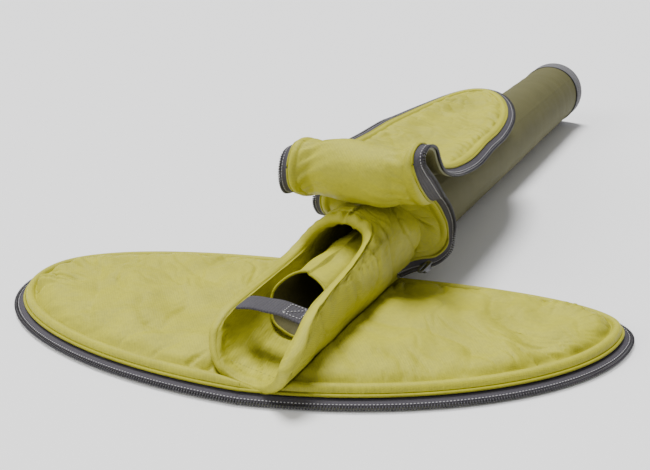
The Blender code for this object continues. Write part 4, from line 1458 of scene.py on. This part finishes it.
    def build_piece(self, piece: str, low: float, high: float) -> None:
        """Make the lining, the shell and the zips of one part of the flap.

        Args:
            piece: "fold", "middle" or "tip".
            low: Where the part starts along the flap.
            high: Where it ends.
        """
        insets, heights = profile(self.welt)
        across, run, lift, depth = self.grid(low, high, np.linspace(-1, 1, 62)[1:-1], insets, heights)
        beyond = np.maximum(depth - insets[-1], 0)
        crown = self.crown * (1 - np.exp(-beyond / self.crown_reach))
        lift = lift + crown + self.folds(across, run, beyond) - self.sink * self.hollow(depth, run)
        flat = np.dstack([across, run])
        lining = sheet_object(f"flap_{piece}_padding", self.place(across, run, lift), flat, False, 0.6 * MM)
        self.join(dress(lining, "lime"), piece)
        layers = ["lining"] if piece == "fold" else ["lining", "foam"]
        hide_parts(*(f"flap_{piece}_{layer}" for layer in layers))

        across, run, lift, depth = self.grid(low, high, np.linspace(-1, 1, 30)[1:-1], *profile(self.shell))
        lift = lift - (self.sink - 1 * MM) * self.hollow(depth, run)
        flat = np.dstack([across, run])
        shell = sheet_object(f"flap_{piece}_cover", self.place(across, run, lift), flat, True, CLOTH)
        self.join(dress(shell, "olive"), piece)
        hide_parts(f"flap_{piece}_shell")

        for part in ("rim",) if piece == "tip" else ("left", "right"):
            node = "flap_tip" if piece == "tip" else f"flap_{piece}_{part}"
            edge = ZipEdge(f"flap_{piece}_{part}", FLAP_ZIP,
                           lambda inset, height: self.edge_line(part, low, high, inset, height),
                           lambda made: self.join(made, piece))
            edge.build(part == "right", [f"{node}_tape"], [f"{node}_teeth"])

    def edge_line(self, part: str, low: float, high: float, inset: float, height: float) -> Array:
        """A line along the flap's edge: one side, or round the whole tip from left to right.

        Args:
            part: "left", "right" or "rim".
            low: Where the line starts along the flap.
            high: Where it ends.
            inset: Distance in from the flap's edge.
            height: Height over the surface.

        Returns:
            Points, shape (n, 3).
        """
        across, run, lift, _ = self.grid(low, high, np.array([]), np.array([inset]), np.array([height]))
        points = self.place(across, run, lift)
        if part == "rim":
            return evenly(np.vstack([points[:, 0], points[::-1, -1][1:]]), 260)
        return points[:, 0 if part == "left" else -1]


# ---- zip sliders ----------------------------------------------------------------------------
@dataclass
class ZipSlider:
    """One zip slider parked at the neck, with its pull."""

    name: str

    def build(self) -> None:
        """Make the slider's wedge with its bridge, and the pull with its hole."""
        low, high = (np.array(corner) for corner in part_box(f"{self.name}_slider"))
        middle, size = (low + high) / 2, (high - low) / 2
        shape, faces = pebble(1, 1, 1, 0.35, 13, 24)
        taper = 1 - 0.22 * (shape[:, 1] < 0) * np.abs(shape[:, 1])
        waist = 1 - 0.30 * np.exp(-((shape[:, 2] / 0.35) ** 2)) * np.abs(shape[:, 0])
        shape = shape * size * np.stack([taper * waist, np.ones_like(taper), np.full_like(taper, 0.92)], 1)
        body = weld(make_object(f"{self.name}_slider_body", shape + middle, faces, shape[:, :2]), 1e-6)
        fit(body, "metal", f"{self.name}_zip_slider", f"{self.name}_slider")
        low, high = (np.array(corner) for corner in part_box(f"{self.name}_pull"))
        middle, size = (low + high) / 2, (high - low) / 2
        angle = np.linspace(0, 2 * np.pi, 48, endpoint=False)
        blocky = 0.55
        x = np.sign(np.cos(angle)) * np.abs(np.cos(angle)) ** blocky * size[0]
        y = np.sign(np.sin(angle)) * np.abs(np.sin(angle)) ** blocky * size[1]
        ring = np.stack([x, y], 1)
        hole = np.stack([0.42 * x, 0.55 * y - 0.30 * size[1]], 1)
        loops = [np.column_stack([ring * s, np.full(48, h * size[2])])
                 for s, h in ((0.94, 1.0), (1.0, 0.5), (1.0, -0.5), (0.94, -1.0))]
        loops += [np.column_stack([hole * s, np.full(48, h * size[2])]) for s, h in ((1.0, -1.0), (1.0, 1.0))]
        points = np.stack(loops) + middle
        faces = grid_faces(len(loops), 48, wrap_rows=True, wrap_columns=True)
        pull = weld(make_object(f"{self.name}_pull_tab", points.reshape(-1, 3), faces,
                                points.reshape(-1, 3)[:, :2]), 1e-6)
        fit(pull, "metal", f"{self.name}_zip_pull", f"{self.name}_pull")


# ---- studio ---------------------------------------------------------------------------------
@dataclass
class Studio:
    """The floor, the lights and the camera."""

    eye: tuple = (0.26165, -0.470, 0.306)
    forward: tuple = (-0.43296, 0.81325, -0.38880)
    lens: float = 47.6

    def build(self) -> None:
        """Set up the pale floor, soft light from the upper left and the camera."""
        self.build_floor()
        self.build_sun("overhead", (0.30, -0.22, -1.20), 22.0, 4.7)
        self.build_sun("front_left", (0.75, 0.80, -0.60), 40.0, 1.35)
        world = bpy.data.worlds.new("studio_world")
        world.use_nodes = True
        world.node_tree.nodes["Background"].inputs[0].default_value = (1.0, 1.0, 1.0, 1.0)
        world.node_tree.nodes["Background"].inputs[1].default_value = 0.36
        bpy.context.scene.world = world
        self.build_camera()

    def build_floor(self) -> None:
        """A wide plain floor just under the case."""
        corners = np.array([[-6, -6, 0], [6, -6, 0], [6, 6, 0], [-6, 6, 0]], float)
        corners[:, 2] = -0.0002
        floor = make_object("floor", corners, np.array([[0, 1, 2, 3]]), corners[:, :2])
        g = Graph("floor_paper")
        white = {"Base Color": (0.93, 0.93, 0.935, 1.0), "Roughness": 0.95}
        floor.data.materials.append(g.finish(white, None, 0))

    def build_sun(self, name: str, aim: tuple, spread: float, strength: float) -> None:
        """A far, wide soft light.

        Args:
            name: Lamp name.
            aim: The way the light goes.
            spread: How wide the light looks from the case, in degrees.
            strength: Light on a surface that faces it.
        """
        data = bpy.data.lights.new(name, "SUN")
        data.energy, data.angle = strength, math.radians(spread)
        lamp = bpy.data.objects.new(name, data)
        lamp.rotation_euler = Vector(aim).to_track_quat("-Z", "Y").to_euler()
        bpy.context.scene.collection.objects.link(lamp)

    def build_camera(self) -> None:
        """The camera at the height and side from which the case is seen."""
        data = bpy.data.cameras.new("camera")
        data.lens, data.sensor_width = self.lens, 36.0
        data.clip_start, data.clip_end = 0.01, 50.0
        camera = bpy.data.objects.new("camera", data)
        ahead = Vector(self.forward).normalized()
        side = ahead.cross(Vector((0, 0, 1))).normalized()
        up = side.cross(ahead)
        camera.matrix_world = Matrix((
            (side.x, up.x, -ahead.x, self.eye[0]), (side.y, up.y, -ahead.y, self.eye[1]),
            (side.z, up.z, -ahead.z, self.eye[2]), (0, 0, 0, 1)))
        bpy.context.scene.collection.objects.link(camera)
        bpy.context.scene.camera = camera


def dress_kept_nodes() -> None:
    """Give the CAD pieces that stay shown a finer finish of their own slot."""
    finishes = {"tube_lining": "brown_space", "tube_liner": "plastic", "end_plug": "plastic",
                "end_pad": "foam"}
    for node, finish in finishes.items():
        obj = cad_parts[node]
        obj.data.materials.clear()
        obj.data.materials.append(material(finish))


def main() -> None:
    """Build every sub-assembly in order."""
    logging.basicConfig(level=logging.INFO, format="%(message)s")
    dress_kept_nodes()
    RodTube().build()
    Hood().build()
    RodSock().build()
    GripStrap().build()
    Panel().build()
    for name in ("left", "right"):
        Collar(name).build()
        ZipSlider(name).build()
    Flap().build()
    Studio().build()


if __name__ == "__main__":
    main()
